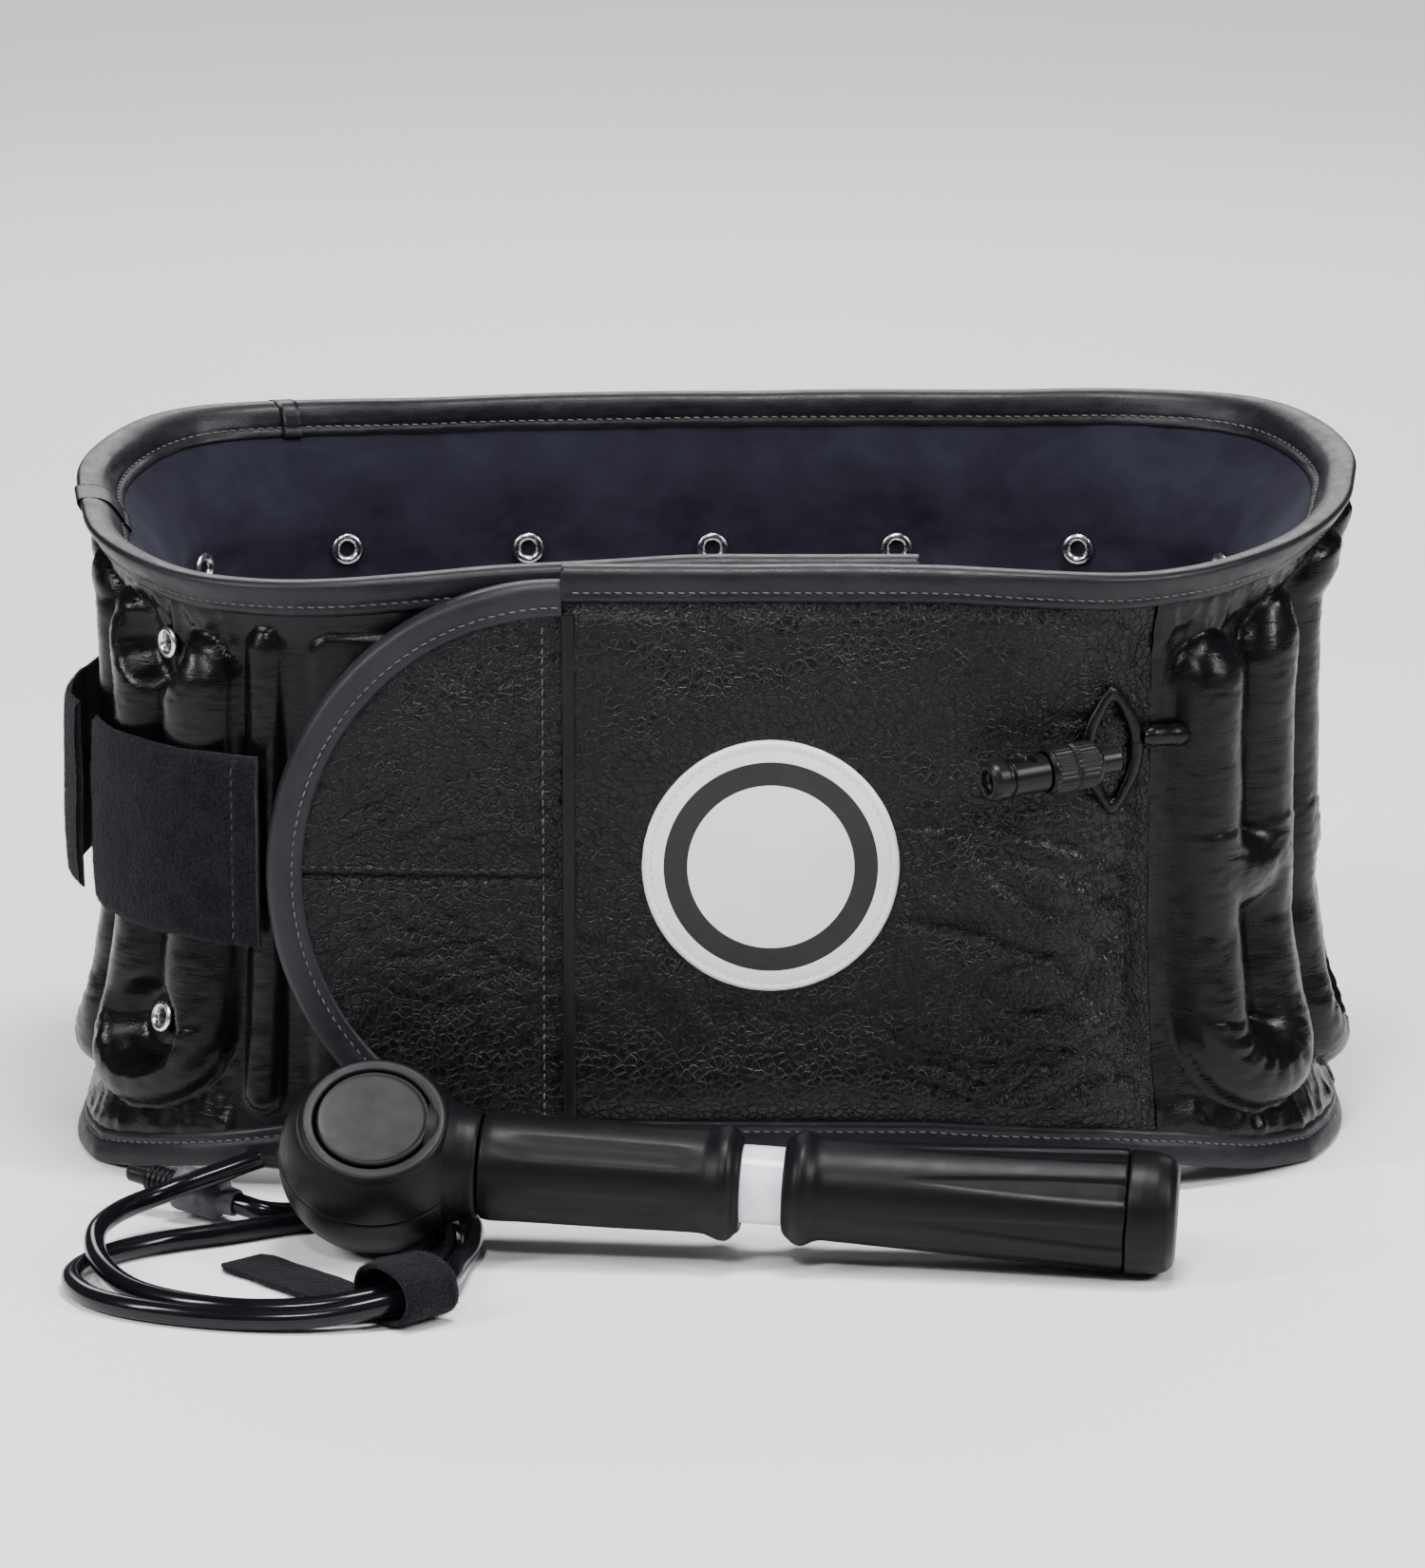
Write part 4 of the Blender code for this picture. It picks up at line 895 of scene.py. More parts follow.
def panel_offset(s, z):
    """Outward height of the front leather. x grows to the right, s grows to the left here."""
    x = sigma_front(0.0) - s
    base = 4.1
    t_edge = step(1.0, 10.0, s - 286.4) * step(0.0, 3.0, S_END - s)
    zb = step(low_z(s) + 8.5, low_z(s) + 15.0, z) * step(top_z(s) - 8.5, top_z(s) - 15.0, z)
    off = base + 0.0 * s
    # broad slack bulges
    bulge = 2.2 * blob(x, z, 66, 62, 34, 26, 0.35) + 1.6 * blob(x, z, 70, 88, 26, 15, -0.3) + 1.5 * blob(x, z, -18, 122, 16, 24, 0.1) + 1.3 * blob(x, z, -20, 58, 15, 30, -0.1)
    bulge += 1.3 * blob(x, z, 20, 34, 40, 9, 0.0) + 1.2 * blob(x, z, 30, 138, 34, 8, 0.05) + 1.5 * blob(x, z, 92, 42, 15, 20, 0.3)
    # folds falling away from the valve and the weld
    w = 0.55 * noise(x / 26.0, z / 26.0, 51)
    lines = ridge((x * 0.45 + z) / 15.0 + w, (x - z * 0.3) / 60.0, 52) * step(34, 60, x) * step(118, 96, z) * step(18, 34, z)
    lines2 = ridge((z - x * 0.35) / 9.5 + w * 1.2, (x + z * 0.3) / 52.0, 53) * step(52, 80, x) * step(100, 82, z)
    soft = fbm(x / 24.0, z / 18.0, 54) * 0.75 + 0.28 * fbm(x / 8.0, z / 7.0, 55)
    bulge += 1.7 * blob(x, z, 93, 80, 13, 20, 0.15) + 1.2 * blob(x, z, 96, 50, 11, 13, -0.2)
    off = off + bulge * 1.5 + soft * 1.35 - lines * 1.7 - lines2 * 1.35
    # puckered weld along the right edge: short creases running in from the line
    inx = np.clip(s - 286.4, 0, None)
    puck = ridge(inx / 14.0 + 3.3, z / 4.4 + 0.5 * noise(inx / 8.0, z / 14.0, 57), 58)
    off -= puck * 1.25 * step(26.0, 2.0, inx) * step(158, 146, z) * step(20, 34, z)
    # pressed rounded contour in the upper right corner
    cx, cz = x - 96.0, z - 141.0
    sd = np.hypot(np.maximum(np.abs(cx) - 6.0, 0), np.maximum(np.abs(cz) - 4.0, 0)) - 9.0
    off -= 0.85 * np.exp(-((sd / 1.5) ** 2)) * step(80, 90, x) + 0.5 * step(1.5, -2.0, sd) * step(80, 90, x)
    # dent round the valve's boss and a ridge to the duct
    off -= 1.6 * blob(x, z, 84, 116, 13, 12)
    off += 1.5 * blob(x, z, 101, 119, 7, 14)
    # the patch presses the leather flat
    dp = np.hypot(x - 15, z - 90.5)
    off = off * step(31.5, 41.0, dp) + 4.25 * (1 - step(31.5, 41.0, dp))
    off += 0.5 * np.exp(-(((dp - 38.0) / 4.0) ** 2)) * (0.5 + 0.5 * noise(x / 11.0, z / 11.0, 59))
    # fine surface life
    off += 0.12 * noise(x / 2.6, z / 2.6, 60)
    lo = 2.2
    return np.maximum(lo + (off - lo) * zb * t_edge, 1.8)


front = skin_piece("front_leather", 286.4, S_END + 0.2, 1.0, 150, panel_offset, M_PANEL)
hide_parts("front_panel")

# ================================================================ lining
lin_s = np.linspace(START, S_END, 560)
lin_Z = zlines(lin_s, 96, 1.95)
lin_S = lin_s[:, None] + 0 * lin_Z


def lining_offset(s, z):
    pair = np.floor(s / (2 * PITCH) + 0.5)
    u = s - pair * 2 * PITCH
    live = (pair >= -5) & (pair <= 4)
    dist = np.minimum(np.hypot(u, z - ROW_HI), np.hypot(u, z - ROW_LO))
    puff = 1 - np.exp(-((np.maximum(dist - 3.5, 0) / 11.0) ** 2))
    span = step(-292, -268, s) * step(282, 262, s)
    edge = step(0, 16, z - low_z(s) - 4) * step(0, 18, top_z(s) - 4 - z)
    column = 0.5 - 0.5 * np.cos(2 * math.pi * u / PITCH)
    inward = np.where(live, puff, 1.0) * span * edge * (2.0 + 0.45 * column)
    ang = np.arctan2(z - np.where(np.abs(z - ROW_HI) < np.abs(z - ROW_LO), ROW_HI, ROW_LO), u)
    puck = (0.5 + 0.5 * np.cos(ang * 9 + 2.0 * noise(dist / 6.0, pair * 1.7, 61))) * step(4.5, 8.0, dist) * step(20.0, 9.0, dist)
    inward -= np.where(live, puck, 0) * 0.42
    inward += edge * (0.40 * fbm(s / 26.0, z / 24.0, 62) + 0.10 * noise(s / 7.0, z / 8.0, 63))
    return -3.05 - np.maximum(inward, 0)


lining = grid("lining_suede_band", wall(lin_S, lin_Z, lining_offset(lin_S, lin_Z)), M_SUEDE, "belt")
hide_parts("lining_band")

# ================================================================ eyelets, one flanged ring each side of every hole
eye_pts, eye_faces = [], []
seg_n = 36
flange = fillet([(-3.95, 2.15), (-4.55, 2.75), (-4.72, 3.35), (-4.35, 4.25), (-3.7, 4.4), (-3.7, 3.9)], 0.3, 3)
tunnel = [(-3.95, 2.15), (-3.0, 1.95), (0.0, 1.9), (3.2, 1.95), (4.1, 2.2)]
outside = fillet([(4.1, 2.2), (4.65, 2.8), (4.8, 3.35), (4.45, 4.2), (3.7, 4.4), (3.7, 3.9)], 0.3, 3)
profile = list(reversed(flange)) + [np.array(p) for p in tunnel[1:-1]] + outside
for row in (ROW_HI, ROW_LO):
    for s0 in EYES:
        b0 = wall(s0, row, 0.0) / MM
        along = (wall(s0 + 1, row, 0) - wall(s0 - 1, row, 0)) / MM
        upward = (wall(s0, row + 1, 0) - wall(s0, row - 1, 0)) / MM
        nn = np.cross(along, upward)
        nn /= np.linalg.norm(nn)
        _, _, ox, oy = plan(np.array(s0))
        if nn[0] * ox + nn[1] * oy < 0:
            nn = -nn
        ax, u1, v1 = frame_of(nn)
        base = len(eye_pts)
        for a0, r0 in profile:
            for j in range(seg_n):
                w = 2 * math.pi * j / seg_n
                eye_pts.append((b0 + ax * a0 + (u1 * math.cos(w) + v1 * math.sin(w)) * r0) * MM)
        f = quads(len(profile), seg_n, False, True, base)
        eye_faces.append(f)
eyelets = make("eyelet_rings", eye_pts, np.concatenate(eye_faces), M_EYE, "belt")
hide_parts(*[f"eyelet_{r}{k:02d}" for r in "tb" for k in range(1, 11)])

# ================================================================ bindings
def smooth_section(points, n=5, r=0.9):
    out = []
    pts = [np.asarray(p, float) for p in points]
    for k, p in enumerate(pts):
        a, b = pts[k - 1], pts[(k + 1) % len(pts)]
        d1, d2 = a - p, b - p
        l1, l2 = np.linalg.norm(d1), np.linalg.norm(d2)
        w = min(r, l1 * 0.45, l2 * 0.45)
        q1, q2 = p + d1 / l1 * w, p + d2 / l2 * w
        for i in range(n):
            t = i / (n - 1)
            out.append((1 - t) ** 2 * q1 + 2 * t * (1 - t) * p + t * t * q2)
    return np.array(out)


# (outward, down from the edge): a folded strip, rounded over the edge, dipping along its stitch line
ROLL = smooth_section([(-3.5, 9.4), (-4.15, 8.7), (-4.3, 7.6), (-3.95, 6.6), (-4.3, 5.5), (-4.45, 3.2), (-4.1, 1.2), (-2.6, 0.05), (-0.4, -0.25), (1.8, 0.05), (3.25, 1.2), (3.6, 3.2), (3.45, 5.5), (3.1, 6.6), (3.45, 7.6), (3.3, 8.7), (2.6, 9.4)], 4, 0.8)


def roll_noise(run, h, seed):
    """Slight unevenness of a sewn roll: long waves and small drags at each stitch."""
    return 0.22 * noise(run / 23.0, seed * 3.3, seed) + 0.13 * noise(run / 5.5, h / 4.0, seed + 1) + 0.07 * noise(run / 2.0, h / 1.6, seed + 2)


def belt_roll(name, edge, sign, seed, s0=START, s1=S_END, widen=0.0, ds=0.95):
    s = np.linspace(s0, s1, int((s1 - s0) / ds))
    sec = ROLL
    S = s[:, None] + 0 * sec[None, :, 0]
    off = sec[None, :, 0] + 0 * S
    h = sec[None, :, 1] + 0 * S
    outw = np.sign(off + 0.4)
    side = np.clip((h - 1.0) / 3.0, 0, 1)
    near_stitch = np.exp(-(((h - 6.6) / 0.9) ** 2))
    off = off + outw * (roll_noise(S, h + off, seed) * side - near_stitch * 0.10 * (0.5 + 0.5 * np.cos(2 * math.pi * S / 2.7)) + widen)
    h = h + (1 - side) * 0.25 * noise(S / 31.0, seed + 0.5, seed + 3)
    Z = edge(s)[:, None] - sign * h
    P = wall(S, Z, off)
    faces = quads(len(s), sec.shape[0], False, True).tolist()
    n = sec.shape[0]
    faces.append(list(range(n))[::-1])
    faces.append([(len(s) - 1) * n + j for j in range(n)])
    return make(name, P.reshape(-1, 3), faces, M_EDGE, "belt")


def edge_path(edge, sign, off, h, s0=START, s1=S_END):
    s = np.linspace(s0 + 1.5, s1 - 1.0, 900)
    z = edge(s) - sign * h
    P = wall(s, z, off)
    Q = wall(s, z, off + 1.0)
    n = Q - P
    return P, n * (1 if off > 0 else -1) / np.linalg.norm(n, axis=1)[:, None]


top_roll = belt_roll("top_roll", top_z, 1, 71)
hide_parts("top_binding")
bottom_roll = belt_roll("bottom_roll", low_z, -1, 75)
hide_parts("bottom_binding")
for name, edge, sign in (("top", top_z, 1), ("bottom", low_z, -1)):
    p, n = edge_path(edge, sign, 3.16, 6.6)
    stitches(f"{name}_stitches_out", p, n, M_THREAD, "belt")
    p, n = edge_path(edge, sign, -4.0, 6.6)
    stitches(f"{name}_stitches_in", p, n, M_THREAD, "belt", phase=0.9)


def lapped_end(name, s0, s1, edge, sign, seed):
    """The binding's two ends, lapped over each other."""
    return belt_roll(name, edge, sign, seed, s0, s1, widen=0.95, ds=0.8)


tab = lapped_end("binding_lap", -207.5, -196.0, top_z, 1, 79)
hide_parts("binding_tab")
lapped_end("binding_lap_back", -117.0, -112.5, top_z, 1, 81)

# ================================================================ flap end
FC = np.array([-40.0, 87.3])
FA, FB = 75.0, 77.3
X_HINGE = SEAM_X + 0.6


def flap_rim(inset, x):
    """Half height of the flap's outline at x."""
    a, b = FA - inset, FB - inset
    t = np.clip((x - FC[0]) / a, -1, 0)
    return b * np.sqrt(np.clip(1 - t**2, 0, 1))


def flap_points(inset, n, m, height):
    """Polar-like grid over the half ellipse: n along x, m across z."""
    a = FA - inset
    ang = np.linspace(0, math.pi / 2, n)
    x = FC[0] + 1.4 - (a + 1.4) * np.sin(ang)
    x = np.maximum(x, FC[0] - a + 0.02)
    half = flap_rim(inset, np.minimum(x, FC[0]))
    v = np.linspace(-1, 1, m)
    X = x[:, None] + 0 * v[None, :]
    Z = FC[1] + half[:, None] * v[None, :]
    return X, Z, height(X, Z)


def flap_height(x, z):
    base = 3.6
    off = base + 0 * x
    # each half of the flap is a soft pillow either side of the cross seam
    zm = 87.3 + 0.6 * np.sin(x / 30.0)
    rim = np.sqrt(np.clip(((x - FC[0]) / (FA - 7)) ** 2 + ((z - FC[1]) / (FB - 7)) ** 2, 0, 1.5))
    edge = np.clip(1 - rim, 0, 1)
    mound = (1 - np.exp(-np.abs(z - zm) / 6.0)) * np.clip(edge * 4.5, 0, 1)
    off += mound * (0.9 + 1.25 * blob(x, z, -68, 122, 24, 22, 0.3) + 1.35 * blob(x, z, -66, 52, 26, 24, -0.3) + 0.8 * blob(x, z, -58, 100, 12, 9, 0) + 0.7 * blob(x, z, -88, 70, 10, 16, 0))
    w = 0.5 * noise(x / 20.0, z / 20.0, 91)
    off -= mound * (0.75 * ridge((z * 0.8 + x * 0.45) / 13.0 + w, (x - z) / 50.0, 92) + 0.55 * ridge((z - x * 0.6) / 10.0 + w, (x + z) / 44.0, 93))
    off += mound * (0.45 * fbm(x / 17.0, z / 13.0, 94) + 0.16 * fbm(x / 6.0, z / 5.0, 95))
    # the cross seam: a fold with a small lip
    off -= 0.75 * np.exp(-(((z - zm) / 0.75) ** 2)) * step(-40.5, -44.0, x)
    off += 0.35 * np.exp(-(((z - zm - 1.7) / 1.1) ** 2)) * step(-40.5, -44.0, x)
    # gathers running in from the rim and drawn folds at the vertical seam
    ang = np.arctan2((z - FC[1]) / FB, (x - FC[0]) / FA)
    off -= 0.30 * (0.5 + 0.5 * np.cos(ang * 46 + 3 * noise(rim * 5, ang * 2, 96))) * step(0.80, 0.98, rim)
    off -= 0.75 * step(-46.0, -41.0, x) + 0.45 * np.exp(-(((x + 43.6) / 0.8) ** 2))
    off -= 0.25 * ridge((x + 40) / 9.0, z / 5.0, 97) * step(-56, -44, x)
    off += 0.09 * noise(x / 2.4, z / 2.4, 98)
    off -= 1.0 * step(0.97, 1.06, rim)
    return np.clip(off, 1.9, 7.5)


def flap_world(X, Z, off):
    return np.stack([X + SHIFT[0], FRONT_Y - off + SHIFT[1], Z], axis=-1) * MM


FX_, FZ_, FO_ = flap_points(6.0, 90, 190, flap_height)
flap_skin = grid("flap_leather", flap_world(FX_, FZ_, FO_), M_PANEL, None, flip=True)
LX, LZ, LO = flap_points(4.5, 46, 100, lambda x, z: -3.05 - 0.35 * (1 + fbm(x / 20.0, z / 20.0, 99)))
flap_back = grid("flap_suede", flap_world(LX, LZ, LO), M_SUEDE, None)
HX, HZ, HO = flap_points(15.0, 30, 60, lambda x, z: -3.75 - 0.12 * noise(x / 3.0, z / 3.0, 100))
keep = HX[:, 0] < -51.0
hook = grid("flap_hook_tape", flap_world(HX[keep], HZ[keep], HO[keep]), M_HOOK, None)

tt = np.linspace(math.pi / 2, 3 * math.pi / 2, 262)
SECF = ROLL.copy()


def flap_roll_point(t, outward, h):
    """Points on the flap's edge roll, h mm in from the rim."""
    x = FC[0] + 1.4 * np.clip(1 - np.abs(np.cos(t)) * 12, 0, 1) + (FA - h) * np.cos(t)
    z = FC[1] + (FB - h) * np.sin(t)
    return x, z


T = tt[:, None] + 0 * SECF[None, :, 0]
off = SECF[None, :, 0] + 0 * T
h = SECF[None, :, 1] + 0 * T
outw = np.sign(off + 0.4)
thick = 1.15 * step(0.0, 0.22, np.abs(np.cos(T)))
side = np.clip((h - 1.0) / 3.0, 0, 1)
runf = (T - math.pi / 2) * 76.0
off = off + outw * (roll_noise(runf, h + off, 83) * side - np.exp(-(((h - 6.6) / 0.9) ** 2)) * 0.10 * (0.5 + 0.5 * np.cos(2 * math.pi * runf / 2.7))) + (outw > 0) * thick
X, Zf = flap_roll_point(T, off, h)
FP = flap_world(X, Zf, off)
faces = quads(len(tt), SECF.shape[0], False, True).tolist()
nsec = SECF.shape[0]
faces.append(list(range(nsec))[::-1])
faces.append([(len(tt) - 1) * nsec + j for j in range(nsec)])
flap_roll = make("flap_roll", FP.reshape(-1, 3), faces, M_BIND, None)
t_fine = np.linspace(math.pi / 2 + 0.01, 3 * math.pi / 2 - 0.01, 700)
thick_f = 1.15 * step(0.0, 0.22, np.abs(np.cos(t_fine)))
sx, sz = flap_roll_point(t_fine, 0, 6.6)
flap_st = stitches("flap_stitches_out", flap_world(sx, sz, 3.2 + thick_f), np.broadcast_to([0, -1.0, 0], (700, 3)), M_THREAD, None)
flap_st2 = stitches("flap_stitches_in", flap_world(sx, sz, -4.0 + 0 * sx), np.broadcast_to([0, 1.0, 0], (700, 3)), M_THREAD, None)
# cross seam stitches and the vertical double seam
xs = np.linspace(-106.5, -45.5, 200)
zs = 87.3 + 0.6 * np.sin(xs / 30.0) + 2.6
cross = stitches("flap_cross_stitches", flap_world(xs, zs, flap_height(xs, zs)), np.broadcast_to([0, -1.0, 0], (200, 3)), M_THREAD_DARK, None, 2.9, 1.8, 0.2, 0.0)
zv = np.linspace(20.0, 154.5, 300)
xv = np.full_like(zv, -43.6)
vert = stitches("flap_seam_stitches", flap_world(xv, zv, flap_height(xv, zv)), np.broadcast_to([0, -1.0, 0], (300, 3)), M_THREAD, None, 2.7, 1.9, 0.24, 0.1)
for piece, nodes in ((flap_skin, ["flap_panel"]), (flap_back, ["flap_lining"]), (hook, ["flap_hook"]), (flap_roll, ["flap_binding"]), (flap_st, []), (flap_st2, []), (cross, []), (vert, [])):
    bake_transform(piece)
    if nodes:
        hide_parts(*nodes)

# vertical piping: a filled fold of leather over the seam
zz = np.linspace(12.0, 156.5, 190)
pth = wall(np.full_like(zz, S_END - 1.75), zz, 4.15 + 0.12 * noise(zz / 6.0, 3.0, 105))
nv = np.broadcast_to([0, -1.0, 0], pth.shape)
sv = np.broadcast_to([1.0, 0, 0], pth.shape)
angs = np.linspace(0, 2 * math.pi, 17)[:-1]
seca = np.stack([1.75 * np.cos(angs), 1.05 * np.sin(angs)], axis=1)
sec = seca[None] * (1 + 0.07 * noise(zz[:, None] / 3.2, angs[None] * 2, 106)[..., None])
piping = sweep("seam_piping_roll", pth, nv, sv, sec, M_PIPE, "belt")
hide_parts("seam_piping")

# hook-and-loop field on the under layer
ls = np.linspace(-440.0, -347.0, 70)
lz = np.linspace(40.0, 140.0, 76)
LS, LZZ = np.meshgrid(ls, lz, indexing="ij")
loop_face = grid("loop_field", wall(LS, LZZ, 2.75 + 0.12 * noise(LS / 3.0, LZZ / 3.0, 107)), M_STRAP, "belt", flip=True)
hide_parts("loop_panel")

# ================================================================ round patch
PX, PZ = 15.0, 90.5
pr = np.concatenate([np.linspace(0, 30.5, 30), np.linspace(31.0, 33.2, 10)])
pa = np.linspace(0, 2 * math.pi, 161)[:-1]
R_, A_ = np.meshgrid(pr, pa, indexing="ij")
hp = 5.35 + 0.22 * (1 - (R_ / 33.2) ** 2) + 0.10 * fbm(R_ * np.cos(A_) / 16.0, R_ * np.sin(A_) / 16.0, 111) - 0.26 * np.exp(-(((R_ - 30.9) / 0.55) ** 2)) - 1.15 * step(32.2, 33.3, R_) ** 2
PP = flap_world(PX + R_ * np.cos(A_), PZ + R_ * np.sin(A_), hp)
white = grid("patch_disc", PP, M_WHITE, "belt", close_cols=True)
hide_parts("patch_base")
rr = np.linspace(21.5, 27.6, 12)
R_, A_ = np.meshgrid(rr, pa, indexing="ij")
hp = 5.35 + 0.22 * (1 - (R_ / 33.2) ** 2) + 0.10 * fbm(R_ * np.cos(A_) / 16.0, R_ * np.sin(A_) / 16.0, 111) + 0.07 * (1 - np.clip(np.abs(R_ - 24.55) / 3.05, 0, 1) ** 8)
dark_ring = grid("patch_band", flap_world(PX + R_ * np.cos(A_), PZ + R_ * np.sin(A_), hp), M_CHAR, "belt", close_cols=True)
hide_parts("patch_ring")
pa2 = np.linspace(0, 2 * math.pi, 400)
hp2 = 5.35 + 0.22 * (1 - (30.9 / 33.2) ** 2) - 0.20
stitches("patch_stitches", flap_world(PX + 30.9 * np.cos(pa2), PZ + 30.9 * np.sin(pa2), hp2 + 0 * pa2), np.broadcast_to([0, -1.0, 0], (400, 3)), M_WTHREAD, "belt", 2.3, 1.75, 0.2, 0.02)

# ================================================================ valve
V_TIP = np.array([69.5, -104.5, 117.2])
V_ROOT = np.array([101.5, -88.0, 119.3])
V_DIR = (V_ROOT - V_TIP) / np.linalg.norm(V_ROOT - V_TIP)
V_LEN = float(np.linalg.norm(V_ROOT - V_TIP))
tip_profile = fillet([(10.8, 0), (10.8, 2.25), (2.2, 2.25), (1.6, 2.9), (0.1, 3.1), (0.0, 4.1), (0.7, 5.05), (2.0, 5.35), (4.6, 5.35), (5.2, 4.6), (5.3, 4.3), (6.3, 4.3), (6.4, 4.9), (16.6, 4.9), (17.0, 4.2), (17.0, 0)], 0.22, 3)


def j_slot(a, th):
    """Bayonet slot: in along the mouth, then round."""
    w = np.angle(np.exp(1j * (th - 1.2)))
    leg = (np.abs(w) < 0.30) & (a > 6.8) & (a < 13.4)
    foot = (w > -0.30) & (w < 0.95) & (a > 10.6) & (a < 13.4)
    return np.where(leg | foot, -1.15, 0.0)


dense = []
for p, q in zip(tip_profile, tip_profile[1:]):
    steps_n = max(1, int(np.linalg.norm(np.asarray(q) - np.asarray(p)) / 0.35))
    dense += [np.asarray(p) + (np.asarray(q) - np.asarray(p)) * i / steps_n for i in range(steps_n)]
dense.append(np.asarray(tip_profile[-1]))
v_body = turned("valve_mouth", V_TIP, V_DIR, dense, 96, M_VALVE, "belt", j_slot, sharp=50)
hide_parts("valve_body")
turned("valve_stem", V_TIP, V_DIR, [(13.0, 3.4), (V_LEN + 2.0, 3.4)], 32, M_VALVE, "belt")


def knurl(a, th):
    band = step(18.4, 18.9, a) * step(30.6, 30.1, a)
    return 0.26 * band * (np.abs(np.mod(th * 30 / (2 * math.pi), 1) - 0.5) * 4 - 1) * 0.8 - 0.35 * np.exp(-(((a - 24.4) / 0.5) ** 2)) * band


slv = fillet([(19.2, 3.75), (19.2, 5.12), (17.05, 5.12), (17.05, 5.45), (17.7, 6.0), (31.0, 6.0), (31.7, 5.5), (32.2, 4.9), (32.2, 3.75)], 0.25, 3, closed=True)
dense = []
for p, q in zip(slv, slv[1:] + slv[:1]):
    steps_n = max(1, int(np.linalg.norm(np.asarray(q) - np.asarray(p)) / 0.4))
    dense += [np.asarray(p) + (np.asarray(q) - np.asarray(p)) * i / steps_n for i in range(steps_n)]
v_ring = turned("valve_grip_ring", V_TIP, V_DIR, dense, 180, M_VALVE, "valve_ring", knurl, closed=True)
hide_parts("valve_sleeve")

# the welded leather eye that the valve comes out of, pointed at top and bottom
rim_a = np.linspace(0, 2 * math.pi, 97)[:-1]
cr = []
for t in rim_a:
    px = []
    lips = 1.0 + 0.22 * abs(math.sin(t)) ** 6
    for q in range(12):
        w = 2 * math.pi * q / 12
        rx = (6.6 + 1.75 * math.cos(w)) * (1.0 - 0.18 * abs(math.sin(t)) ** 3)
        rz = (12.2 + 1.75 * math.cos(w)) * lips
        x = 103.0 + rx * math.cos(t)
        z = 119.6 + rz * math.sin(t)
        ang = math.asin(min(1, max(0, (x - FX) / (FRONT_R + 4.4))))
        ys = FY - math.cos(ang) * (FRONT_R + 4.4) if x > FX else FRONT_Y - 4.4
        lift = 0.9 + 1.35 * math.sin(w) + 0.12 * float(noise(t * 4.0, w, 121))
        px.append([x + SHIFT[0], ys - lift + SHIFT[1], z])
    cr.append(px)
collar = grid("valve_eye", np.array(cr) * MM, M_SKIN, "belt", close_rows=True, close_cols=True)
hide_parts("valve_collar")
# air duct from the eye to the first column
ds_ = np.linspace(262.0, 291.0, 60)
da = np.linspace(0, 2 * math.pi, 25)[:-1]
ctr = wall(ds_, np.full_like(ds_, 121.6) + 0.5 * np.sin(ds_ / 5.0), 5.4 + 0.6 * step(276, 268, ds_))
nrm_d = wall(ds_, np.full_like(ds_, 121.6), 8.0) - wall(ds_, np.full_like(ds_, 121.6), 4.0)
nrm_d /= np.linalg.norm(nrm_d, axis=1)[:, None]
sid_d = np.broadcast_to([0, 0, 1.0], nrm_d.shape)
rad = 3.0 + 0.35 * np.sin(ds_ / 2.1) * 0.5 + 0.3 * noise(ds_ / 4.0, 1.0, 123) - 0.9 * step(287.5, 291.0, ds_)
secd = np.stack([rad[:, None] * np.cos(da)[None] * 0.95, rad[:, None] * np.sin(da)[None] * 0.8], axis=2)
duct = sweep("air_duct_skin", ctr, nrm_d, sid_d, secd, M_SKIN, "belt")
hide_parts("air_duct")

# ================================================================ straps
def strap_piece(name, s0, s1, z0, z1, off_fn, mat, body, node, seed, hem_at=None):
    s = np.linspace(s0, s1, 110)
    v = np.linspace(-1, 1, 84)
    S, V = np.meshgrid(s, v, indexing="ij")
    zc, half = (z0 + z1) / 2, (z1 - z0) / 2
    wob = 0.5 * noise(S / 15.0, V * 1.3, seed)
    Z = zc + V * half + 0.45 * V * noise(S / 12.0, 0.3, seed + 1) - 0.5 * (S - s0) / (s1 - s0) * 0
    no_flare = -flare(S, Z)
    crown = 0.55 * (1 - V**4)
    fuzz = 0.16 * noise(S / 0.95, Z / 0.95, seed + 2) + 0.14 * fbm(S / 3.0, Z / 3.0, seed + 3)
    O = off_fn(S) + 1.55 + crown + wob * 0.7 + fuzz + no_flare
    O -= 0.9 * step(0.94, 1.0, np.abs(V))
    if hem_at is not None:
        O += 0.55 * step(hem_at - 0.6, hem_at + 0.6, -S) - 0.4 * np.exp(-(((S + hem_at) / 0.8) ** 2))
    I = off_fn(S) + 0.15 + no_flare + wob * 0.7
    PO, PI = wall(S, Z, O), wall(S, Z, I)
    ring = np.concatenate([PO, PI[:, ::-1]], axis=1)
    n = ring.shape[1]
    faces = quads(*ring.shape[:2], False, True)[:, ::-1].tolist()
    faces.append(list(range(n)))
    faces.append([(ring.shape[0] - 1) * n + j for j in reversed(range(n))])
    obj = make(name, ring.reshape(-1, 3), faces, mat, body)
    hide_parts(node)
    N = grid_normals(PO, 1)
    px, py, nx, ny = plan(S)
    if (N[..., 0] * nx + N[..., 1] * ny).sum() < 0:
        N = -N
    return obj, PO, N


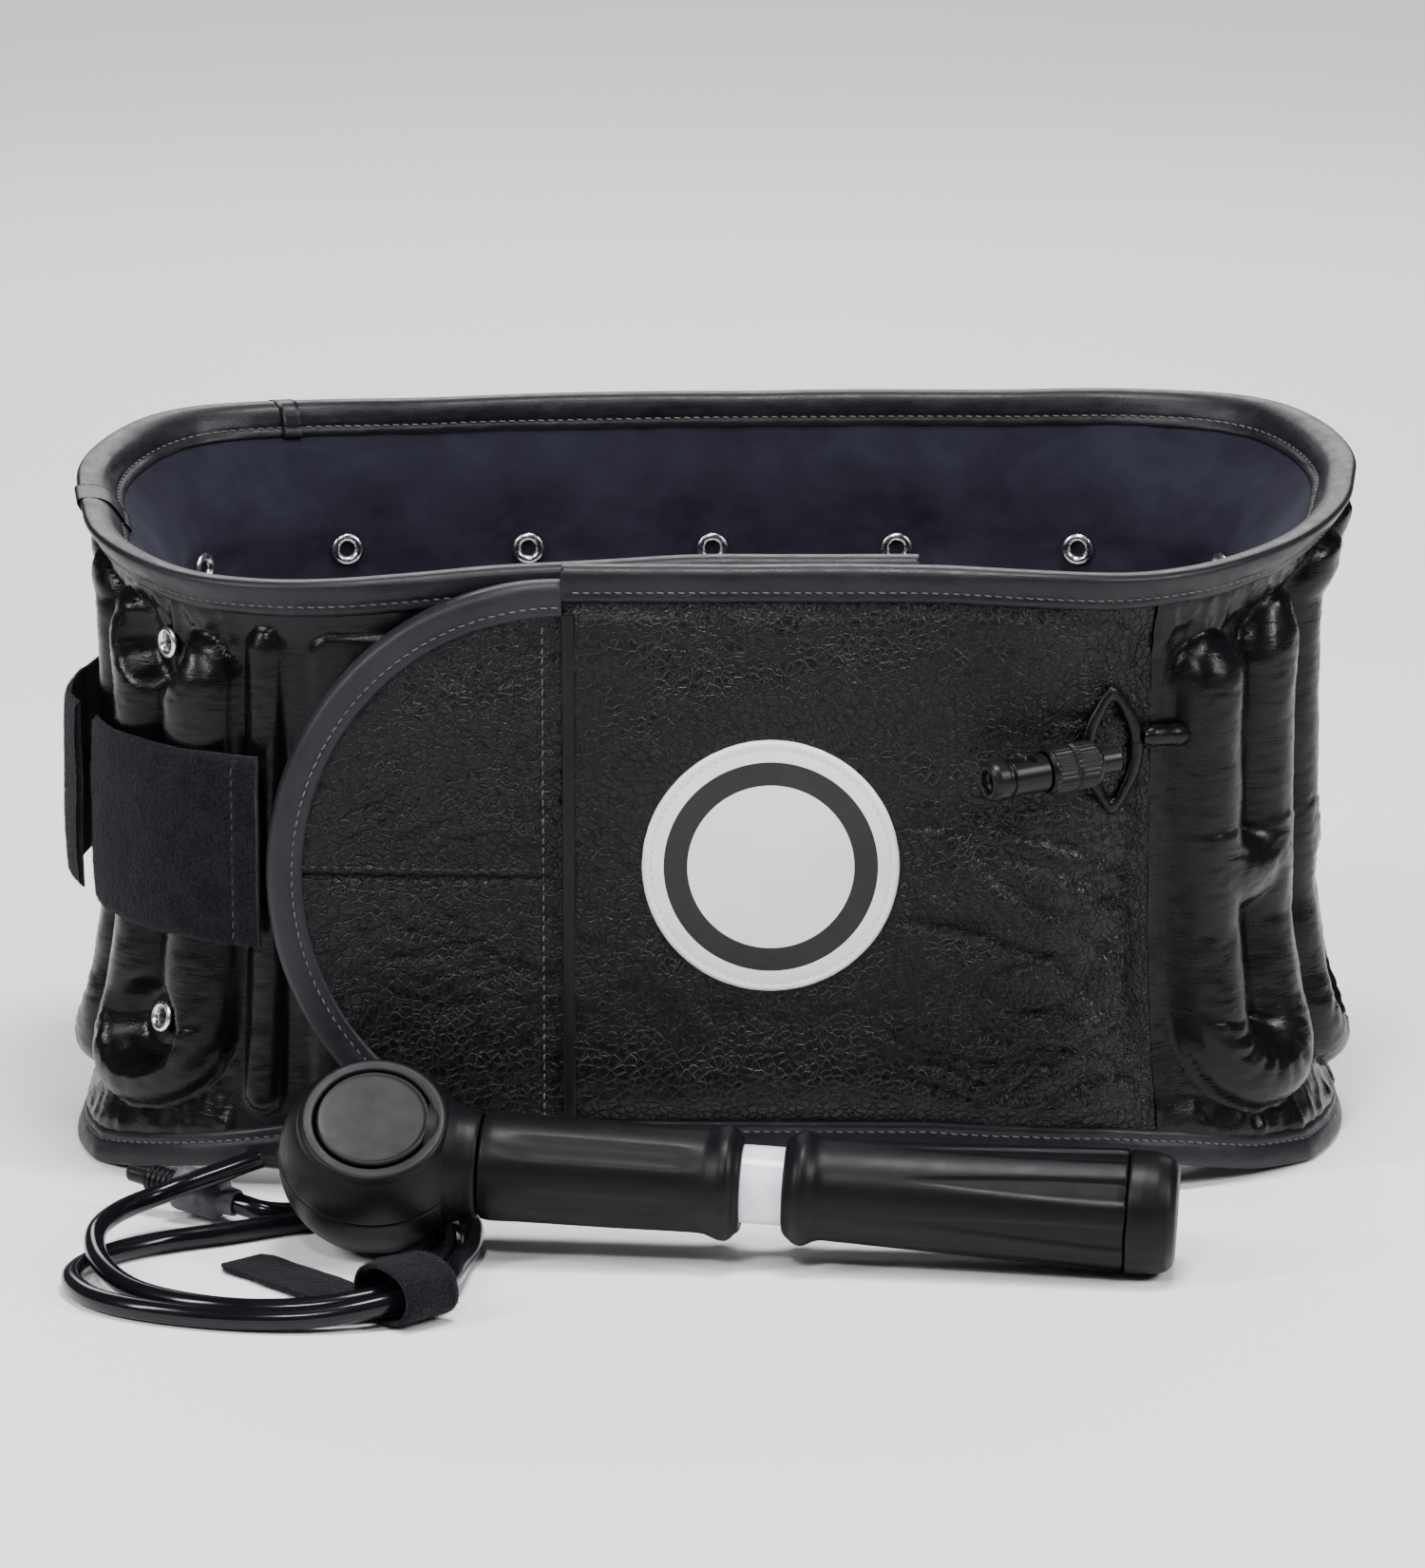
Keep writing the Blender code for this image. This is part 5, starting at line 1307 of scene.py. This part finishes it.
front_off = lambda s: np.interp(s, [-290, -283, -270, -240, -232], [12.6, 13.3, 13.9, 13.9, 13.7])
rear_off = lambda s: np.interp(s, [-229, -217.6, -204.8, -192, -179.2, -166.4, -150], [17.5, 20.0, 20.5, 19.0, 16.5, 14.5, 13.9])
sf, PO, N = strap_piece("strap_front_web", -290.2, -231.8, 67.8, 118.2, front_off, M_STRAP, "strap_end", "strap_front", 131, hem_at=284.6)
fibres("strap_front_pile", PO, N, 26000, M_FIBRE, "strap_end", (0.35, 0.95), 0.060, 5)
sr, PO2, N2 = strap_piece("strap_rear_web", -229.2, -150.0, 70.8, 121.2, rear_off, M_STRAP, "belt", "strap_rear", 141)
fibres("strap_rear_pile", PO2, N2, 24000, M_FIBRE, "belt", (0.35, 0.95), 0.060, 6)
zz2 = np.linspace(69.5, 116.5, 120)
s_h = np.full_like(zz2, -284.6)
ph = wall(s_h, zz2, front_off(s_h) + 1.95 - flare(s_h, zz2))
pq = wall(s_h, zz2, front_off(s_h) + 3.0 - flare(s_h, zz2))
nh = pq - ph
nh /= np.linalg.norm(nh, axis=1)[:, None]
stitches("strap_hem_stitches", ph, nh, M_THREAD_DARK, "strap_end", 2.9, 2.0, 0.26, 0.1)

# ================================================================ pump
SEAM_T = 4.2


def arc(t0, t1, n, r=HEAD_R):
    a0, a1 = math.acos(t0 / r), math.acos(t1 / r)
    return [(r * math.cos(a0 + (a1 - a0) * k / n), r * math.sin(a0 + (a1 - a0) * k / n)) for k in range(n + 1)]


head_prof = [(-HEAD_R, 0.0)] + arc(-HEAD_R, SEAM_T - 0.35, 60)[1:] + [(SEAM_T - 0.12, 24.05), (SEAM_T + 0.05, 23.6), (SEAM_T + 0.05, 0)]
head = turned("head_shell", HEAD, BUTTON_N, head_prof, 128, M_PUMP, "pump")
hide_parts("pump_head")
cap_prof = [(SEAM_T + 0.15, 22.6), (SEAM_T + 0.18, 23.9)] + arc(SEAM_T + 0.45, 15.0, 30) + fillet([(15.25, 19.3), (15.7, 19.15), (16.7, 18.55), (17.0, 17.7), (16.9, 15.4), (16.3, 14.95), (14.0, 14.9)], 0.45, 5)
cap = turned("head_cap_shell", HEAD, BUTTON_N, cap_prof, 128, M_PUMP, "pump")
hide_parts("head_cap")
btn = turned("release_button_disc", HEAD, BUTTON_N, fillet([(15.0, 0), (15.0, 14.35), (16.85, 14.45), (17.25, 13.9), (17.05, 12.9), (16.95, 6.0), (16.9, 0)], 0.35, 4), 96, M_PUMP, "button")
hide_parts("release_button")
# collar from the ball to the barrel: a tapered throat with a fillet onto the ball
throat = [(14.0, 17.6), (16.5, 16.9), (19.0, 15.7), (21.5, 14.75), (24.0, 14.1), (26.2, 13.85), (26.9, 13.4), (27.1, 12.6), (27.1, 10.4)]
turned("head_throat", HEAD, P_DIR, fillet(throat, 0.5, 3), 96, M_PUMP, "pump")


def dense_profile(points, spacing=0.9):
    out = []
    pts = [np.asarray(p, float) for p in points]
    for p, q in zip(pts, pts[1:]):
        k = max(1, int(np.linalg.norm(q - p) / spacing))
        out += [p + (q - p) * i / k for i in range(k)]
    out.append(pts[-1])
    return out


def barrel_facets(a, th):
    """Six long shallow hollows with soft edges, fading at both ends."""
    live = step(31.0, 44.0, a) * step(85.0, 76.0, a)
    wave = np.cos(6 * (th + 0.35))
    return -0.55 * live * step(-0.15, 0.95, wave)


def handle_facets(a, th):
    """Eight hollows that start as points near the neck and widen to the cap."""
    live = step(116.0, 126.0, a)
    grow = step(116.0, 186.0, a)
    wave = np.cos(8 * (th + 0.2))
    edge = 0.985 - 1.15 * grow
    return -(0.25 + 0.60 * grow) * live * step(edge, edge + 0.42, wave)


barrel = [(27.4, 10.6), (27.4, 12.9), (27.9, 13.6), (30.0, 13.95), (60.0, 13.75), (82.0, 13.35), (84.6, 13.35), (86.4, 14.0), (88.2, 14.75), (90.2, 14.85), (91.5, 14.0), (92.3, 13.0), (93.3, 12.3), (93.7, 11.6), (93.7, 10.4)]
b_grip = turned("barrel_grip_shell", HEAD, P_DIR, dense_profile(fillet(barrel, 1.0, 4)), 144, M_PUMP, "pump", barrel_facets)
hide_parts("barrel_grip")
tube_obj = turned("pump_tube_shell", HEAD, P_DIR, dense_profile([(40.0, 9.95), (90.0, 9.95), (176.0, 9.95), (176.0, 8.7)], 4.0), 72, M_TUBE, "pump")
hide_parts("pump_tube")
handle_p = [(104.3, 10.4), (104.3, 11.4), (104.9, 12.3), (106.0, 13.2), (107.3, 14.3), (109.0, 14.75), (110.6, 14.3), (112.4, 13.2), (114.4, 12.85), (118.0, 13.0), (150.0, 14.05), (178.0, 15.3), (188.6, 15.85), (190.4, 15.75), (190.8, 15.2), (190.8, 10.2)]
h_grip = turned("handle_grip_shell", HEAD, P_DIR, dense_profile(fillet(handle_p, 1.0, 4)), 160, M_PUMP, "handle", handle_facets)
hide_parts("handle_grip")


def slot_cut(a, th):
    """One short moulded slot in the cap's rim, on top."""
    w = np.angle(np.exp(1j * (th - math.pi / 2 - 0.10)))
    return np.where((np.abs(w) < 0.055) & (a > 191.6) & (a < 197.5), -0.6, 0.0)


cap_p = [(190.95, 9.8), (190.95, 15.1), (191.4, 15.7), (194.5, 15.75), (198.5, 15.35), (201.4, 14.5), (203.0, 13.0), (203.55, 11.2), (203.2, 9.6), (203.05, 4.0), (203.05, 0)]
end_cap = turned("handle_end_cap_shell", HEAD, P_DIR, dense_profile(fillet(cap_p, 0.6, 3), 0.6), 200, M_PUMP, "handle", slot_cut, sharp=60)
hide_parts("handle_end_cap")
rod = turned("piston_rod", HEAD, P_DIR, dense_profile([(44.0, 0), (44.0, 8.2), (51.0, 8.2), (51.0, 2.4), (188.0, 2.4), (188.0, 0)], 6.0), 40, M_TUBE, "handle", sharp=40)
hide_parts("piston")
barb_o = turned("hose_barb_neck", HEAD, BARB, fillet([(22.5, 6.4), (24.6, 5.6), (25.6, 4.9), (26.8, 4.4), (28.0, 4.1), (29.2, 3.9), (29.35, 3.4), (29.35, 0)], 0.4, 3), 48, M_PUMP, "pump")
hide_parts("hose_barb")
relief = turned("hose_relief", HEAD, BARB, fillet([(28.0, 3.0), (29.5, 3.75), (31.0, 3.6), (36.0, 3.15), (41.0, 2.9), (41.0, 2.7)], 0.3, 3), 40, M_VALVE, "pump")

# ================================================================ floor, light
floor_mesh = bpy.data.meshes.new("floor")
floor_mesh.from_pydata([(-6, -4, 0), (6, -4, 0), (6, 8, 0), (-6, 8, 0)], [], [(0, 1, 2, 3)])
floor = bpy.data.objects.new("floor", floor_mesh)
bpy.context.scene.collection.objects.link(floor)
mat_floor, b_floor = principled("floor_look", (0.90, 0.90, 0.90), 0.85)
kf = Nodes(mat_floor)
kf.link(kf.mix(kf.remap(kf.noise(3.0, 3.0), 0.3, 0.7), (0.895, 0.895, 0.895), (0.905, 0.905, 0.905)), b_floor.inputs["Base Color"])
floor_mesh.materials.append(mat_floor)

world = bpy.data.worlds.new("studio")
bpy.context.scene.world = world
world.use_nodes = True
wt = world.node_tree
room = wt.nodes["Background"]
room.inputs["Color"].default_value = (1, 1, 1, 1)
room.inputs["Strength"].default_value = 0.07
paper = wt.nodes.new("ShaderNodeBackground")
paper.inputs["Color"].default_value = (1, 1, 1, 1)
paper.inputs["Strength"].default_value = 3.0
path_info = wt.nodes.new("ShaderNodeLightPath")
either = wt.nodes.new("ShaderNodeMixShader")
wt.links.new(path_info.outputs["Is Camera Ray"], either.inputs[0])
wt.links.new(room.outputs[0], either.inputs[1])
wt.links.new(paper.outputs[0], either.inputs[2])
wt.links.new(either.outputs[0], wt.nodes["World Output"].inputs["Surface"])


def area(name, loc, target, size, power, size_y=None, colour=(1, 1, 1)):
    data = bpy.data.lights.new(name, "AREA")
    data.shape = "RECTANGLE" if size_y else "SQUARE"
    data.size = size
    if size_y:
        data.size_y = size_y
    data.energy = power
    data.color = colour
    obj = bpy.data.objects.new(name, data)
    bpy.context.scene.collection.objects.link(obj)
    obj.location = loc
    obj.rotation_mode = "QUATERNION"
    obj.rotation_quaternion = (Vector(target) - Vector(loc)).to_track_quat("-Z", "Y")
    return obj


area("key_top", (0.10, -0.20, 1.45), (0, 0.0, 0.05), 0.50, 25, 0.36)
area("left_strip", (-1.05, -0.60, 0.85), (-0.02, 0, 0.08), 0.12, 13, 0.55)
area("right_strip", (1.05, -0.55, 0.85), (0.02, 0, 0.08), 0.12, 13, 0.55)
area("front_high", (-0.35, -1.30, 1.35), (0, 0, 0.06), 0.26, 12, 0.20)
area("back_glow", (0.0, 1.5, 1.1), (0, 0.6, 0.0), 1.6, 16, 0.6)
area("far_floor", (0.0, 2.7, 1.5), (0, 2.3, 0.0), 2.6, 34, 1.6)
